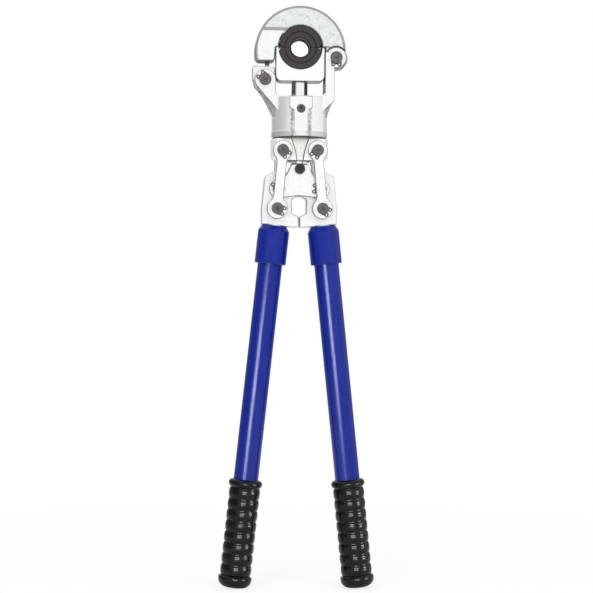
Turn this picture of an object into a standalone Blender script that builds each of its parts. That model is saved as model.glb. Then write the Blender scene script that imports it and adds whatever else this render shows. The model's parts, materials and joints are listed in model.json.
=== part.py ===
"""Manual radial press tool for pipe fittings.

A hinged C-shaped jaw and a die holder stand in a fork that swivels on a linkage block. Two long
handles work four links and a pair of push plates, which drive the ram and the lower die upwards.

Sizes are in millimetres and the scene is in metres. The tool stands on its grips with its head up:
X is across the handles, -Y is the front, +Z is up, and the origin lies on the axis at grip level.
"""

import math

import bmesh
import bpy
from mathutils import Matrix, Vector

MM = 0.001

# Fits
GAP = 0.3                     # between faces that touch
PIN_FIT = 0.3                 # radial, a pin in its hole
OPEN_PIVOT_FIT = 2.3          # radial, the lower link pin in the lever
LOCK_FIT = 0.4                # latch head in its slot

# Handles
HANDLE_LEAN = 6.0             # degrees, handles closed
HANDLE_LENGTH = 379.0         # lower link pin to the end of the grip
TUBE_DIAMETER = 24.7
TUBE_WALL = 2.0
FERRULE_WALL = 3.05           # round the tube
FERRULE_NECK_WALL = 2.35      # round the lever's shank
FERRULE_LENGTH = 38.3
FERRULE_TAPER = 5.4
FERRULE_NECK_DEPTH = 7.5      # top of the ferrule down to the end of the tube
SHANK_LENGTH = 62.0           # lever's shank below its foot

# Rubber grips
GRIP_LENGTH = 108.0
GRIP_RIB_COUNT = 8
GRIP_RIB_WALL = 2.95          # rubber round the tube, at a rib
GRIP_GROOVE_WALL = 1.75
GRIP_BEAD_WALL = 4.15
GRIP_BEAD_HEIGHT = 8.5
GRIP_END_HEIGHT = 12.0
GRIP_END_RADIUS = 8.0
GRIP_BOTTOM = 6.0             # rubber below the tube

# Linkage, handles closed
BLOCK_PIN_X = 17.3            # upper link pins
PIVOT_X = 21.0                # lever pivots in the push plates
LEVER_PIN_X = 22.5            # lower link pins
LINK_LENGTH = 57.9
LEVER_ARM = 20.0              # lever pivot to lower link pin
LINK_PIN_DIAMETER = 11.6
LINK_THICKNESS = 5.8
LINK_UPPER_EYE = 19.6
LINK_LOWER_EYE = 20.6
LINK_WIDTH = 9.8
LINK_FILLET = 9.0

# Levers
LEVER_THICKNESS = 18.0
LEVER_FOOT = 16.3             # lower link pin down to the foot
LEVER_FOOT_OVERHANG = 0.7     # beyond the ferrule's neck
LEVER_TOP_RADIUS = 18.0       # about the pivot, clears the ram
LEVER_INNER_RADIUS = 20.4     # about the pivot, ends short of the other lever
LEVER_SHOULDER_X = 34.6
LEVER_SHOULDER_RISE = 13.5    # above the pivot
LEVER_FLANK_X = 37.8
LEVER_EDGE = 1.4
WINDOW_X = 7.2                # opening between the levers
WINDOW_TOP = 10.5             # below the pivot
WINDOW_BOTTOM = 24.0
NOSE_HEIGHT = 11.0
NOSE_GAP = 0.8                # between the noses, closed
BOSS_DIAMETER = 20.6

# Push plates
PLATE_THICKNESS = 5.5
PLATE_TOP_WIDTH = 16.4
PLATE_TOP_RISE = 24.4         # above the lever pivots
PLATE_WAIST_X = 13.4
PLATE_WAIST_RISE = 13.0
PLATE_EAR_RADIUS = 9.2        # about the lever pivots, clears the link bosses
PLATE_EAR_TURN = 62.0         # degrees, where the upper edge meets the ear
PLATE_ARCH = 2.6
PLATE_CHAMFER = 0.8

# Ram
RAM_DIAMETER = 16.4
RAM_FOOT_HEIGHT = 12.0
RAM_FOOT_DROP = 6.5           # foot below its screw
RAM_SCREW_RISE = 19.6         # screw above the lever pivots
RAM_SPIGOT_DIAMETER = 10.0
RAM_SPIGOT_HEIGHT = 7.8
RAM_NECK_DIAMETER = 7.2
RAM_NECK_HEIGHT = 3.8
RAM_NECK_RISE = 2.4
RAM_SCREW_DIAMETER = 6.0
RAM_SCREW_HEAD = 10.2
RAM_SCREW_HEAD_HEIGHT = 5.0
RAM_SCREW_SOCKET = 5.0        # across the flats
RAM_SCREW_SOCKET_DEPTH = 3.0
RAM_NUT_WIDTH = 10.0          # across the flats
RAM_NUT_HEIGHT = 5.0

# Linkage block and swivel
BLOCK_OVERHANG = 0.8          # beyond the barrel
BLOCK_ABOVE_PINS = 12.0
BLOCK_BELOW_PINS = 9.4
BLOCK_CORNER = 5.0
BLOCK_RECESS_DEPTH = 2.5
BLOCK_RECESS_TOP = 18.0
BLOCK_RECESS_BOTTOM = 7.2
SPIGOT_DIAMETER = 35.0
SPIGOT_HEIGHT = 36.0
SPIGOT_GROOVE_DEPTH = 1.8
SPIGOT_GROOVE_HEIGHT = 6.4
WASHER_INSET = 1.5            # inside the barrel's edge
WASHER_THICKNESS = 0.9
SWIVEL_SCREW_RISE = 27.1      # above the lower face of the barrel
SWIVEL_SCREW_DIAMETER = 8.0
SWIVEL_SCREW_TIP = 5.4
SWIVEL_SCREW_SOCKET = 4.0
SWIVEL_SCREW_SOCKET_DEPTH = 3.5

# Fork
BARREL_WALL = 10.2            # round the spigot's bore
BARREL_LENGTH = 40.1
BARREL_EDGE = 1.2
BARREL_LIP_DEPTH = 0.4        # turned lip round the lower end
BARREL_LIP_HEIGHT = 5.2
FORK_DEPTH = 33.0             # over the milled flats
FORK_GAP = 49.2               # between the arms
FORK_SLOT = 17.0              # slots for the jaw and the latch
EAR_PIN_DIAMETER = 12.2
RIGHT_EAR_DIAMETER = 19.8
LEFT_EAR_DIAMETER = 20.8
ARM_OUTER_X = 33.8
ARM_FOOT_RISE = -3.6          # knee of the right arm, from the fork floor
ARM_ROOT_COVER = 3.0          # beyond the spigot's bore, where the arms run out
ARM_ROOT_DROP = 16.1          # the same place, below the fork floor
ARM_ROOT_LAND = 1.5
ARM_TOP_LAND = 3.0            # upper end of the arms' inner faces, below the fork floor
LEFT_FLAT_TURN = 216.0        # degrees, where the latch arm's flat leaves its ear
FLARE_DEPTH = 23.0            # cast flanks behind the flats
FLARE_EDGE = 4.0
FLARE_CURVE = 1.4             # power of the flank's sweep
FLARE_FOOT = 21.0             # below the fork floor
FLARE_COVER = 1.2             # cast skin inside the barrel's edge, at the foot
FLARE_INSET = 1.2             # inside the ear's side, at the latch arm
FLARE_DROP = 5.0              # below the latch pin
FLARE_KNEE_INSET = 0.4        # inside the knee of the hinge arm
FLARE_KNEE_RISE = 1.0
FLOOR_CHAMFER = 4.3
PAD_WIDTH = 22.6
PAD_HEIGHT = 14.6
PAD_RISE = 0.2                # proud of the barrel
RIB_WIDTH = 14.2
RIB_HEIGHT = 36.0

# Jaw and dies
DIE_RISE = 49.3               # die centre above the fork floor
DIE_DIAMETER = 42.8
DIE_WIDTH = 26.0
DIE_STEP_DIAMETER = 32.0
DIE_STEP_DEPTH = 1.2
DIE_BORE = 18.3
DIE_RELIEF_DIAMETER = 21.4
DIE_RELIEF_WIDTH = 9.0
DIE_CORNER = 2.2
DOWEL_DIAMETER = 4.0
DOWEL_LENGTH = 6.0
JAW_HINGE_X = 35.5
JAW_HINGE_DROP = 10.1         # below the die centre
LATCH_PIN_X = 35.0
LATCH_PIN_DROP = 32.7
JAW_RADIUS = 45.2
JAW_CENTRE_DROP = 3.9
JAW_THICKNESS = 25.0
JAW_CAST_THICKNESS = 28.0     # rough upper part
JAW_CAST_RISE = 18.5          # above the die centre
JAW_LUG_THICKNESS = 16.4
JAW_LUG_RADIUS = 10.5
JAW_LUG_END = 292.0           # degrees, where the heel takes over
JAW_HEEL_START = 304.0
JAW_HEEL_RADIUS = 11.8
JAW_POCKET_RADIUS = 12.1
JAW_LEG_DROP = 13.8           # end of the leg below the die centre
JAW_LEG_CORNER = 5.0
JAW_LEG_INNER_CORNER = 3.5
HOLDER_DEPTH = 33.2           # height of the die holder
HOLDER_FIT = 0.4              # each side, in the fork
HOLDER_CORNER = 5.5
HOLDER_TOP_CORNER = 1.5
HOLDER_PIN_DIAMETER = 3.0
HOLDER_PIN_REACH = 8.0        # in front of the middle plane, put in from the rear
PLATE_EDGE_CHAMFER = 0.8      # machined edges of the jaw and the holder

# Latch
LATCH_THICKNESS = 16.2
LATCH_OUTER_X = 47.2
LATCH_INNER_X = 25.2
LATCH_BODY_RISE = 14.2        # above the latch pin
LATCH_BODY_DROP = 9.4
LATCH_NECK_OFFSET = 2.4       # inwards from the latch pin
LATCH_NECK_WIDTH = 4.4
LATCH_NECK_DEPTH = 6.4
LATCH_HEAD_WIDTH = 8.0
LATCH_HEAD_DEPTH = 15.0
LATCH_HEAD_LOW = 27.0         # radii about the latch pin
LATCH_HEAD_HIGH = 33.0

# Retaining clips
CLIP_THICKNESS = 1.2
CLIP_GROOVE_DEPTH = 0.9
CLIP_RIM = 1.4                # ring outside the pin
CLIP_LUG_RADIUS = 2.0
CLIP_LUG_ANGLE = 25.0
CLIP_OPENING = 42.0           # half angle between the lugs' roots
PIN_TAIL = 0.9                # pin beyond its clip
PIN_CHAMFER = 0.6

# Places that follow from the sizes above
LEAN = math.radians(HANDLE_LEAN)
SLEEVE_BORE = TUBE_DIAMETER / 2 + GAP
SHANK_RADIUS = TUBE_DIAMETER / 2 - TUBE_WALL - GAP
FERRULE_NECK_RADIUS = SHANK_RADIUS + GAP + FERRULE_NECK_WALL
GRIP_BEAD_RADIUS = SLEEVE_BORE + GRIP_BEAD_WALL
GRIP_END_INNER = GRIP_BEAD_RADIUS - GRIP_END_RADIUS
LEVER_PIN_Z = ((HANDLE_LENGTH - GRIP_END_RADIUS) * math.cos(LEAN)
               + GRIP_END_INNER * math.sin(LEAN) + GRIP_END_RADIUS)
PIVOT_Z = LEVER_PIN_Z + math.sqrt(LEVER_ARM ** 2 - (LEVER_PIN_X - PIVOT_X) ** 2)
BLOCK_PIN_Z = LEVER_PIN_Z + math.sqrt(LINK_LENGTH ** 2 - (LEVER_PIN_X - BLOCK_PIN_X) ** 2)
BLOCK_TOP = BLOCK_PIN_Z + BLOCK_ABOVE_PINS
BLOCK_BOTTOM = BLOCK_PIN_Z - BLOCK_BELOW_PINS
SPIGOT_HOLE = SPIGOT_DIAMETER / 2 + PIN_FIT
BARREL_RADIUS = SPIGOT_HOLE + BARREL_WALL
BARREL_BOTTOM = BLOCK_TOP + WASHER_THICKNESS + 2 * GAP
FORK_FLOOR = BARREL_BOTTOM + BARREL_LENGTH
SWIVEL_SCREW_Z = BARREL_BOTTOM + SWIVEL_SCREW_RISE
DIE_Z = FORK_FLOOR + DIE_RISE
HINGE_Z = DIE_Z - JAW_HINGE_DROP
LATCH_Z = DIE_Z - LATCH_PIN_DROP
SPLIT_UPPER = DIE_Z + GAP / 2
SPLIT_LOWER = DIE_Z - GAP / 2
HOLDER_BOTTOM = SPLIT_LOWER - HOLDER_DEPTH
RAM_TOP = HOLDER_BOTTOM - GAP
RAM_SCREW_Z = PIVOT_Z + RAM_SCREW_RISE
RAM_BOTTOM = RAM_SCREW_Z - RAM_FOOT_DROP
HOLDER_WIDTH = FORK_GAP - 2 * HOLDER_FIT
SEAT_RADIUS = DIE_DIAMETER / 2 + GAP
FERRULE_TOP = LEVER_FOOT + GAP
TUBE_TOP = FERRULE_TOP + FERRULE_NECK_DEPTH
TUBE_END = HANDLE_LENGTH - GRIP_BOTTOM

# Depths from the middle plane outwards
LEVER_FACE = LEVER_THICKNESS / 2
PLATE_NEAR = LEVER_FACE + GAP
PLATE_FAR = PLATE_NEAR + PLATE_THICKNESS
LINK_NEAR = PLATE_FAR + GAP + CLIP_THICKNESS + PIN_TAIL + GAP
LINK_FAR = LINK_NEAR + LINK_THICKNESS
BLOCK_FACE = LINK_NEAR - GAP
FORK_FACE = FORK_DEPTH / 2
PAD_FACE = BARREL_RADIUS + PAD_RISE

# Directions in which the clips open, degrees from +X towards +Z
HINGE_CLIP = 270.0
LATCH_CLIP = 135.0
UPPER_CLIP = {-1: 312.0, 1: 237.0}
LOWER_CLIP = {-1: 336.0, 1: 326.0}
PIVOT_CLIP = {-1: 120.0, 1: 176.0}

SIDES = {-1: "left", 1: "right"}

FINISHES = {
    "forged_steel": ((0.62, 0.64, 0.64), 0.42, 0.9),
    "milled_steel": ((0.80, 0.81, 0.80), 0.28, 1.0),
    "polished_steel": ((0.85, 0.85, 0.85), 0.12, 1.0),
    "dark_pin_steel": ((0.14, 0.135, 0.13), 0.35, 0.9),
    "spring_steel": ((0.30, 0.30, 0.30), 0.35, 0.9),
    "black_oxide": ((0.045, 0.042, 0.042), 0.38, 0.6),
    "blue_paint": ((0.025, 0.035, 0.33), 0.22, 0.0),
    "black_rubber": ((0.018, 0.018, 0.02), 0.38, 0.0),
}


def sides(radius):
    """Number of flats that a circle of this radius gets."""
    for limit, count in ((3.0, 8), (8.0, 14), (13.0, 18), (20.0, 24)):
        if radius < limit:
            return count
    return 36


def arc(x, z, radius, start, end):
    """Points of an arc about (x, z), angles in degrees from +X towards +Z."""
    steps = max(2, math.ceil(abs(end - start) / 360 * sides(radius)))
    turns = [math.radians(start + (end - start) * i / steps) for i in range(steps + 1)]
    return [(x + radius * math.cos(t), z + radius * math.sin(t)) for t in turns]


def circle(x, z, radius):
    """Closed circle about (x, z)."""
    return arc(x, z, radius, 0.0, 360.0)[:-1]


def bearing(centre, point):
    """Angle in degrees of a point seen from a centre."""
    return math.degrees(math.atan2(point[1] - centre[1], point[0] - centre[0]))


def rounded(corners):
    """Closed outline through corners (x, z) or (x, z, radius), each radius as a tangent arc."""
    points = []
    for index, corner in enumerate(corners):
        here = Vector(corner[:2])
        radius = corner[2] if len(corner) > 2 else 0.0
        if not radius:
            points.append(tuple(corner[:2]))
            continue
        back = (Vector(corners[index - 1][:2]) - here).normalized()
        ahead = (Vector(corners[(index + 1) % len(corners)][:2]) - here).normalized()
        half = back.angle(ahead) / 2
        centre = here + (back + ahead).normalized() * radius / math.sin(half)
        start = bearing(centre, here + back * radius / math.tan(half))
        end = bearing(centre, here + ahead * radius / math.tan(half))
        sweep = (end - start + 180) % 360 - 180
        points += arc(centre.x, centre.y, radius, start, start + sweep)
    return points


def mirrored(outline, side):
    """Outline for the given side, from one drawn on the right."""
    return [(side * x, z) for x, z in outline]


def slab(outline, near, far, chamfer=0.0):
    """Plate with an XZ outline between two Y values, with its face edges chamfered."""
    bm = bmesh.new()
    face = bm.faces.new([bm.verts.new((x, near, z)) for x, z in outline])
    grown = bmesh.ops.extrude_face_region(bm, geom=[face])["geom"]
    moved = [item for item in grown if isinstance(item, bmesh.types.BMVert)]
    bmesh.ops.translate(bm, verts=moved, vec=(0.0, far - near, 0.0))
    bmesh.ops.recalc_face_normals(bm, faces=bm.faces)
    if chamfer:
        rims = [edge for edge in bm.edges if edge.verts[0].co.y == edge.verts[1].co.y]
        bmesh.ops.bevel(bm, geom=rims, offset=chamfer, offset_type="OFFSET", segments=1,
                        profile=0.5, affect="EDGES", clamp_overlap=True)
    return bm


def turned(profile, along="Z", at=(0.0, 0.0, 0.0), ring=False):
    """Body of revolution from (radius, height) points along an axis through a place."""
    bm = bmesh.new()
    verts = [bm.verts.new((radius, 0.0, height)) for radius, height in profile]
    edges = [bm.edges.new(pair) for pair in zip(verts, verts[1:])]
    if ring:
        edges.append(bm.edges.new((verts[-1], verts[0])))
    steps = sides(max(radius for radius, height in profile))
    bmesh.ops.spin(bm, geom=verts + edges, cent=(0, 0, 0), axis=(0, 0, 1), angle=math.tau,
                   steps=steps, use_merge=True)
    bmesh.ops.remove_doubles(bm, verts=bm.verts, dist=0.001)
    if along == "Y":
        bmesh.ops.rotate(bm, verts=bm.verts, matrix=Matrix.Rotation(math.pi / 2, 3, "X"))
    bmesh.ops.translate(bm, verts=bm.verts, vec=at)
    bmesh.ops.recalc_face_normals(bm, faces=bm.faces)
    return bm


def rod(radius, low, high, along="Y", at=(0.0, 0.0, 0.0)):
    """Plain cylinder between two heights of its axis."""
    return turned([(0.0, high), (radius, high), (radius, low), (0.0, low)], along, at)


def cross_hole(x, z, radius, reach, flare=0.6):
    """Cutter for a hole along Y through a piece of the given half depth, with chamfered mouths."""
    wide = radius + flare + 1.0
    low = [(0.0, -reach - 1.0), (wide, -reach - 1.0), (radius, -reach + flare)]
    high = [(radius, reach - flare), (wide, reach + 1.0), (0.0, reach + 1.0)]
    return turned(low + high, "Y", (x, 0.0, z))


def hexagon(x, z, width):
    """Outline of a hexagon with the given width across its flats."""
    radius = width / math.sqrt(3)
    turns = [math.radians(60 * i) for i in range(6)]
    return [(x + radius * math.cos(t), z + radius * math.sin(t)) for t in turns]


def finish_material(name):
    """Principled material for one finish."""
    if name in bpy.data.materials:
        return bpy.data.materials[name]
    colour, roughness, metallic = FINISHES[name]
    material = bpy.data.materials.new(name)
    material.use_nodes = True
    shader = material.node_tree.nodes["Principled BSDF"]
    shader.inputs["Base Color"].default_value = (*colour, 1.0)
    shader.inputs["Roughness"].default_value = roughness
    shader.inputs["Metallic"].default_value = metallic
    material.diffuse_color = (*colour, 1.0)
    return material


class Pivot:
    """Empty that stands on a joint's axis and carries the pieces that move about it."""

    def __init__(self, name, place=(0.0, 0.0, 0.0), parent=None, turn=0.0):
        self.place = Vector(place)
        self.turn = turn
        self.empty = bpy.data.objects.new(name, None)
        self.empty.empty_display_size = 0.01
        bpy.context.scene.collection.objects.link(self.empty)
        start = parent.place if parent else Vector()
        self.empty.parent = parent.empty if parent else None
        self.empty.location = (self.place - start) * MM
        self.empty.rotation_euler = (0.0, turn, 0.0)

    def hold(self, name, bm):
        """Object under this pivot, from a mesh drawn in the tool's frame (or along a turned axis)."""
        if not self.turn:
            bmesh.ops.translate(bm, verts=bm.verts, vec=-self.place)
        bmesh.ops.scale(bm, verts=bm.verts, vec=(MM, MM, MM))
        mesh = bpy.data.meshes.new(name)
        bm.to_mesh(mesh)
        bm.free()
        item = bpy.data.objects.new(name, mesh)
        bpy.context.scene.collection.objects.link(item)
        item.parent = self.empty
        return item


class Part:
    """One sub-part: a mesh object with its finish, to which others may be joined or cut."""

    def __init__(self, name, bm, pivot, finish, smooth=35.0):
        self.pivot = pivot
        self.item = pivot.hold(name, bm)
        self.item.data.materials.append(finish_material(finish))
        self.item.data.shade_smooth()
        self.item.data.set_sharp_from_angle(angle=math.radians(smooth))
        self.tools = 0

    def combine(self, bm, operation):
        """Boolean with a hidden tool body."""
        self.tools += 1
        tool = self.pivot.hold(f"{self.item.name}_tool_{self.tools}", bm)
        tool.hide_render = True
        tool.display_type = "WIRE"
        modifier = self.item.modifiers.new(operation.lower(), "BOOLEAN")
        modifier.operation = operation
        modifier.solver = "EXACT"
        modifier.object = tool

    def join(self, *bodies):
        """Add bodies to the piece."""
        for bm in bodies:
            self.combine(bm, "UNION")

    def cut(self, *bodies):
        """Take bodies out of the piece."""
        for bm in bodies:
            self.combine(bm, "DIFFERENCE")


def pin_body(x, z, radius, seat):
    """Pin along Y with a groove for a clip outside each seat face."""
    end = seat + GAP + CLIP_THICKNESS + PIN_TAIL
    groove = radius - CLIP_GROOVE_DEPTH
    inner = seat + GAP / 3
    outer = seat + GAP + CLIP_THICKNESS + GAP / 2
    half = [(0.0, end), (radius - PIN_CHAMFER, end), (radius, end - PIN_CHAMFER),
            (radius, outer), (groove, outer), (groove, inner), (radius, inner)]
    return turned(half + [(r, -y) for r, y in reversed(half)], "Y", (x, 0.0, z))


def clip_body(x, z, radius, near, opening):
    """Open retaining ring with two lugs, on a pin of the given radius, lying from near outwards."""
    inner = radius - CLIP_GROOVE_DEPTH + GAP
    outer = radius + CLIP_RIM
    lug = radius + CLIP_RIM
    outline = arc(x, z, outer, opening + CLIP_OPENING, opening + 360 - CLIP_OPENING)
    for turn, band in ((-CLIP_LUG_ANGLE, (352, 8)), (CLIP_LUG_ANGLE, None)):
        angle = math.radians(opening + turn)
        lug_x = x + lug * math.cos(angle)
        lug_z = z + lug * math.sin(angle)
        first = opening + turn + (-80 if band else -110)
        last = opening + turn + (110 if band else 80)
        outline += arc(lug_x, lug_z, CLIP_LUG_RADIUS, first, last)
        if band:
            outline += arc(x, z, inner, opening + band[0], opening + band[1])
    far = near + math.copysign(CLIP_THICKNESS, near)
    return slab(outline, near, far)


def clips(pivot, name, x, z, radius, seat, opening):
    """The two clips at the ends of a pin, outside its seat faces."""
    for word, side in (("front", -1), ("rear", 1)):
        Part(f"clip_{name}_{word}", clip_body(x, z, radius, side * (seat + GAP), opening), pivot,
             "spring_steel")


def linkage_block(root):
    """Block with milled flats, spigot for the swivel and holes for the ram and the link pins."""
    radius = BARREL_RADIUS + BLOCK_OVERHANG
    spigot = SPIGOT_DIAMETER / 2
    groove = spigot - SPIGOT_GROOVE_DEPTH
    top = BLOCK_TOP + SPIGOT_HEIGHT
    half = SPIGOT_GROOVE_HEIGHT / 2
    profile = [(0.0, top), (spigot - 1.0, top), (spigot, top - 1.0),
               (spigot, SWIVEL_SCREW_Z + half), (groove, SWIVEL_SCREW_Z + half),
               (groove, SWIVEL_SCREW_Z - half), (spigot, SWIVEL_SCREW_Z - half),
               (spigot, BLOCK_TOP), (radius - 0.6, BLOCK_TOP), (radius, BLOCK_TOP - 0.6),
               (radius, BLOCK_BOTTOM + BLOCK_CORNER)]
    for angle in (22.5, 45.0, 67.5, 90.0):
        turn = math.radians(angle)
        profile.append((radius - BLOCK_CORNER * (1 - math.cos(turn)),
                        BLOCK_BOTTOM + BLOCK_CORNER * (1 - math.sin(turn))))
    profile.append((0.0, BLOCK_BOTTOM))
    block = Part("linkage_block", turned(profile), root, "milled_steel")
    wide = [(-radius - 2, BLOCK_BOTTOM - 2), (radius + 2, BLOCK_BOTTOM - 2),
            (radius + 2, BLOCK_TOP + 0.01), (-radius - 2, BLOCK_TOP + 0.01)]
    for side in (-1, 1):
        block.cut(slab(wide, side * BLOCK_FACE, side * (radius + 2)))
        block.cut(slab(block_recess(), side * (BLOCK_FACE - BLOCK_RECESS_DEPTH),
                       side * (BLOCK_FACE + 1)))
    block.cut(rod(RAM_DIAMETER / 2 + PIN_FIT, BLOCK_BOTTOM - 1, top + 1, "Z"))
    for side in SIDES:
        block.cut(cross_hole(side * BLOCK_PIN_X, BLOCK_PIN_Z, LINK_PIN_DIAMETER / 2 + PIN_FIT,
                             BLOCK_FACE, 0.4))


def block_recess():
    """Outline of the recess between the upper link eyes, wide at the top, narrow below."""
    top = BLOCK_RECESS_TOP / 2
    bottom = BLOCK_RECESS_BOTTOM / 2
    low = BLOCK_BOTTOM - 1
    high = BLOCK_TOP - 1.5
    steps = 8
    right = []
    for i in range(steps + 1):
        t = i / steps
        ease = t * t * (3 - 2 * t)
        right.append((top + (bottom - top) * ease, high + (low - high) * t))
    return right + [(-x, z) for x, z in reversed(right)]


def swivel(head):
    """Washer between the block and the barrel, and the screw that keeps the fork on its spigot."""
    low = BLOCK_TOP + GAP
    high = low + WASHER_THICKNESS
    outer = BARREL_RADIUS - WASHER_INSET
    ring = [(SPIGOT_HOLE, high), (outer, high), (outer, low), (SPIGOT_HOLE, low)]
    Part("swivel_washer", turned(ring, ring=True), head, "dark_pin_steel")
    tip = SPIGOT_DIAMETER / 2 - SPIGOT_GROOVE_DEPTH + GAP
    radius = SWIVEL_SCREW_DIAMETER / 2
    face = PAD_FACE - 0.2
    step = SPIGOT_HOLE + 1.5
    profile = [(0.0, face), (radius - 0.5, face), (radius, face - 0.5), (radius, step),
               (SWIVEL_SCREW_TIP / 2, step - 0.8), (SWIVEL_SCREW_TIP / 2, tip), (0.0, tip)]
    screw = Part("swivel_screw", turned(profile, "Y", (0.0, 0.0, SWIVEL_SCREW_Z)), head,
                 "dark_pin_steel")
    screw.cut(slab(hexagon(0.0, SWIVEL_SCREW_Z, SWIVEL_SCREW_SOCKET), -face - 1,
                   -face + SWIVEL_SCREW_SOCKET_DEPTH))


def arm_inside():
    """Inner face of the hinge arm, from its root in the barrel up to the fork floor's chamfer."""
    inner = FORK_GAP / 2
    return [(SPIGOT_HOLE + ARM_ROOT_LAND, FORK_FLOOR - ARM_ROOT_DROP),
            (SPIGOT_HOLE + ARM_ROOT_LAND, FORK_FLOOR - ARM_TOP_LAND),
            (inner - FLOOR_CHAMFER - 1.0, FORK_FLOOR - 1.0), (inner, FORK_FLOOR + FLOOR_CHAMFER)]


def arm_root():
    """Point on the right where an arm's flat runs out on the barrel."""
    return SPIGOT_HOLE + ARM_ROOT_COVER, FORK_FLOOR - ARM_ROOT_DROP


def right_arm():
    """Front outline of the hinge arm, from the fork floor up round its ear."""
    ear = RIGHT_EAR_DIAMETER / 2
    foot = math.degrees(math.asin((JAW_HINGE_X - ARM_OUTER_X) / ear))
    points = arm_inside()
    points.append((FORK_GAP / 2, HINGE_Z + ear * math.sin(math.radians(148))))
    points += reversed(arc(JAW_HINGE_X, HINGE_Z, ear, -90 - foot, 148))
    return points + [(ARM_OUTER_X, FORK_FLOOR + ARM_FOOT_RISE), arm_root()]


def left_arm():
    """Front outline of the latch arm, lower, with a slanted edge from its ear to the barrel."""
    ear = LEFT_EAR_DIAMETER / 2
    points = mirrored(arm_inside(), -1)
    points += arc(-LATCH_PIN_X, LATCH_Z, ear, 0, LEFT_FLAT_TURN)
    return points + mirrored([arm_root()], -1)


def flare(side, top_x, top_z):
    """Front outline of the cast flank behind an arm's flat, sweeping in to the barrel."""
    root = SPIGOT_HOLE + ARM_ROOT_LAND
    foot_x = BARREL_RADIUS - FLARE_COVER
    foot_z = FORK_FLOOR - FLARE_FOOT
    steps = 4
    sweep = [i / steps for i in range(steps + 1)]
    curve = [(foot_x + (top_x - foot_x) * (1 - share) ** FLARE_CURVE,
              top_z + (foot_z - top_z) * share) for share in sweep]
    inside = [(root, foot_z), (root, FORK_FLOOR - ARM_TOP_LAND - 1.0),
              (FORK_GAP / 2 + 1.0, FORK_FLOOR + FLOOR_CHAMFER / 3)]
    return mirrored(inside + curve, side)


def fork(head):
    """Forged fork: swivel barrel, two arms with slotted ears, and a milled pad in front."""
    radius = BARREL_RADIUS
    skin = radius - BARREL_LIP_DEPTH
    edge = BARREL_EDGE
    lip = BARREL_BOTTOM + BARREL_LIP_HEIGHT
    ram_hole = RAM_DIAMETER / 2 + PIN_FIT
    ceiling = BLOCK_TOP + SPIGOT_HEIGHT + GAP
    profile = [(ram_hole, FORK_FLOOR), (skin - edge, FORK_FLOOR), (skin, FORK_FLOOR - edge),
               (skin, lip + BARREL_LIP_DEPTH), (radius, lip), (radius, BARREL_BOTTOM + 0.6),
               (radius - 0.6, BARREL_BOTTOM), (SPIGOT_HOLE, BARREL_BOTTOM),
               (SPIGOT_HOLE, ceiling), (ram_hole, ceiling)]
    body = Part("fork_head", turned(profile, ring=True), head, "forged_steel")
    half = FLARE_DEPTH / 2
    knee = flare(1, ARM_OUTER_X - FLARE_KNEE_INSET, FORK_FLOOR + ARM_FOOT_RISE + FLARE_KNEE_RISE)
    flank = flare(-1, LATCH_PIN_X + LEFT_EAR_DIAMETER / 2 - FLARE_INSET, LATCH_Z - FLARE_DROP)
    body.join(slab(knee, -half, half, FLARE_EDGE), slab(flank, -half, half, FLARE_EDGE))
    body.join(slab(right_arm(), -FORK_FACE, FORK_FACE, 0.8))
    body.join(slab(left_arm(), -FORK_FACE, FORK_FACE, 0.8))
    pad = PAD_WIDTH / 2
    rib = RIB_WIDTH / 2
    pad_low = FORK_FLOOR - PAD_HEIGHT
    outline = [(pad, FORK_FLOOR - 1.5), (-pad, FORK_FLOOR - 1.5), (-pad, pad_low + 2.6),
               (-rib, pad_low), (-rib, FORK_FLOOR - RIB_HEIGHT), (rib, FORK_FLOOR - RIB_HEIGHT),
               (rib, pad_low), (pad, pad_low + 2.6)]
    body.join(slab(outline, -PAD_FACE, -SPIGOT_HOLE - 2.7, 0.5))
    half_slot = FORK_SLOT / 2
    hinge_slot = [(FORK_GAP / 2 - 2, HINGE_Z - JAW_HEEL_RADIUS - 1.0),
                  (JAW_HINGE_X + 14, HINGE_Z - JAW_HEEL_RADIUS - 1.0),
                  (JAW_HINGE_X + 14, HINGE_Z + 14), (FORK_GAP / 2 - 2, HINGE_Z + 14)]
    latch_slot = [(-LATCH_PIN_X - 14, LATCH_Z - 12.9), (-FORK_GAP / 2 + 2, LATCH_Z - 12.9),
                  (-FORK_GAP / 2 + 2, LATCH_Z + 14), (-LATCH_PIN_X - 14, LATCH_Z + 14)]
    body.cut(slab(hinge_slot, -half_slot, half_slot), slab(latch_slot, -half_slot, half_slot))
    pin_hole = EAR_PIN_DIAMETER / 2 + PIN_FIT
    body.cut(cross_hole(JAW_HINGE_X, HINGE_Z, pin_hole, FORK_FACE, 0.4),
             cross_hole(-LATCH_PIN_X, LATCH_Z, pin_hole, FORK_FACE, 0.4))
    screw_hole = SWIVEL_SCREW_DIAMETER / 2 + PIN_FIT
    body.cut(rod(screw_hole, SPIGOT_DIAMETER / 2 - 3, PAD_FACE + 1, "Y",
                 (0.0, 0.0, SWIVEL_SCREW_Z)))
    radius = EAR_PIN_DIAMETER / 2
    Part("jaw_hinge_pin", pin_body(JAW_HINGE_X, HINGE_Z, radius, FORK_FACE), head,
         "dark_pin_steel")
    Part("latch_pin", pin_body(-LATCH_PIN_X, LATCH_Z, radius, FORK_FACE), head, "dark_pin_steel")
    clips(head, "jaw_hinge", JAW_HINGE_X, HINGE_Z, radius, FORK_FACE, HINGE_CLIP)
    clips(head, "latch", -LATCH_PIN_X, LATCH_Z, radius, FORK_FACE, LATCH_CLIP)


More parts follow.
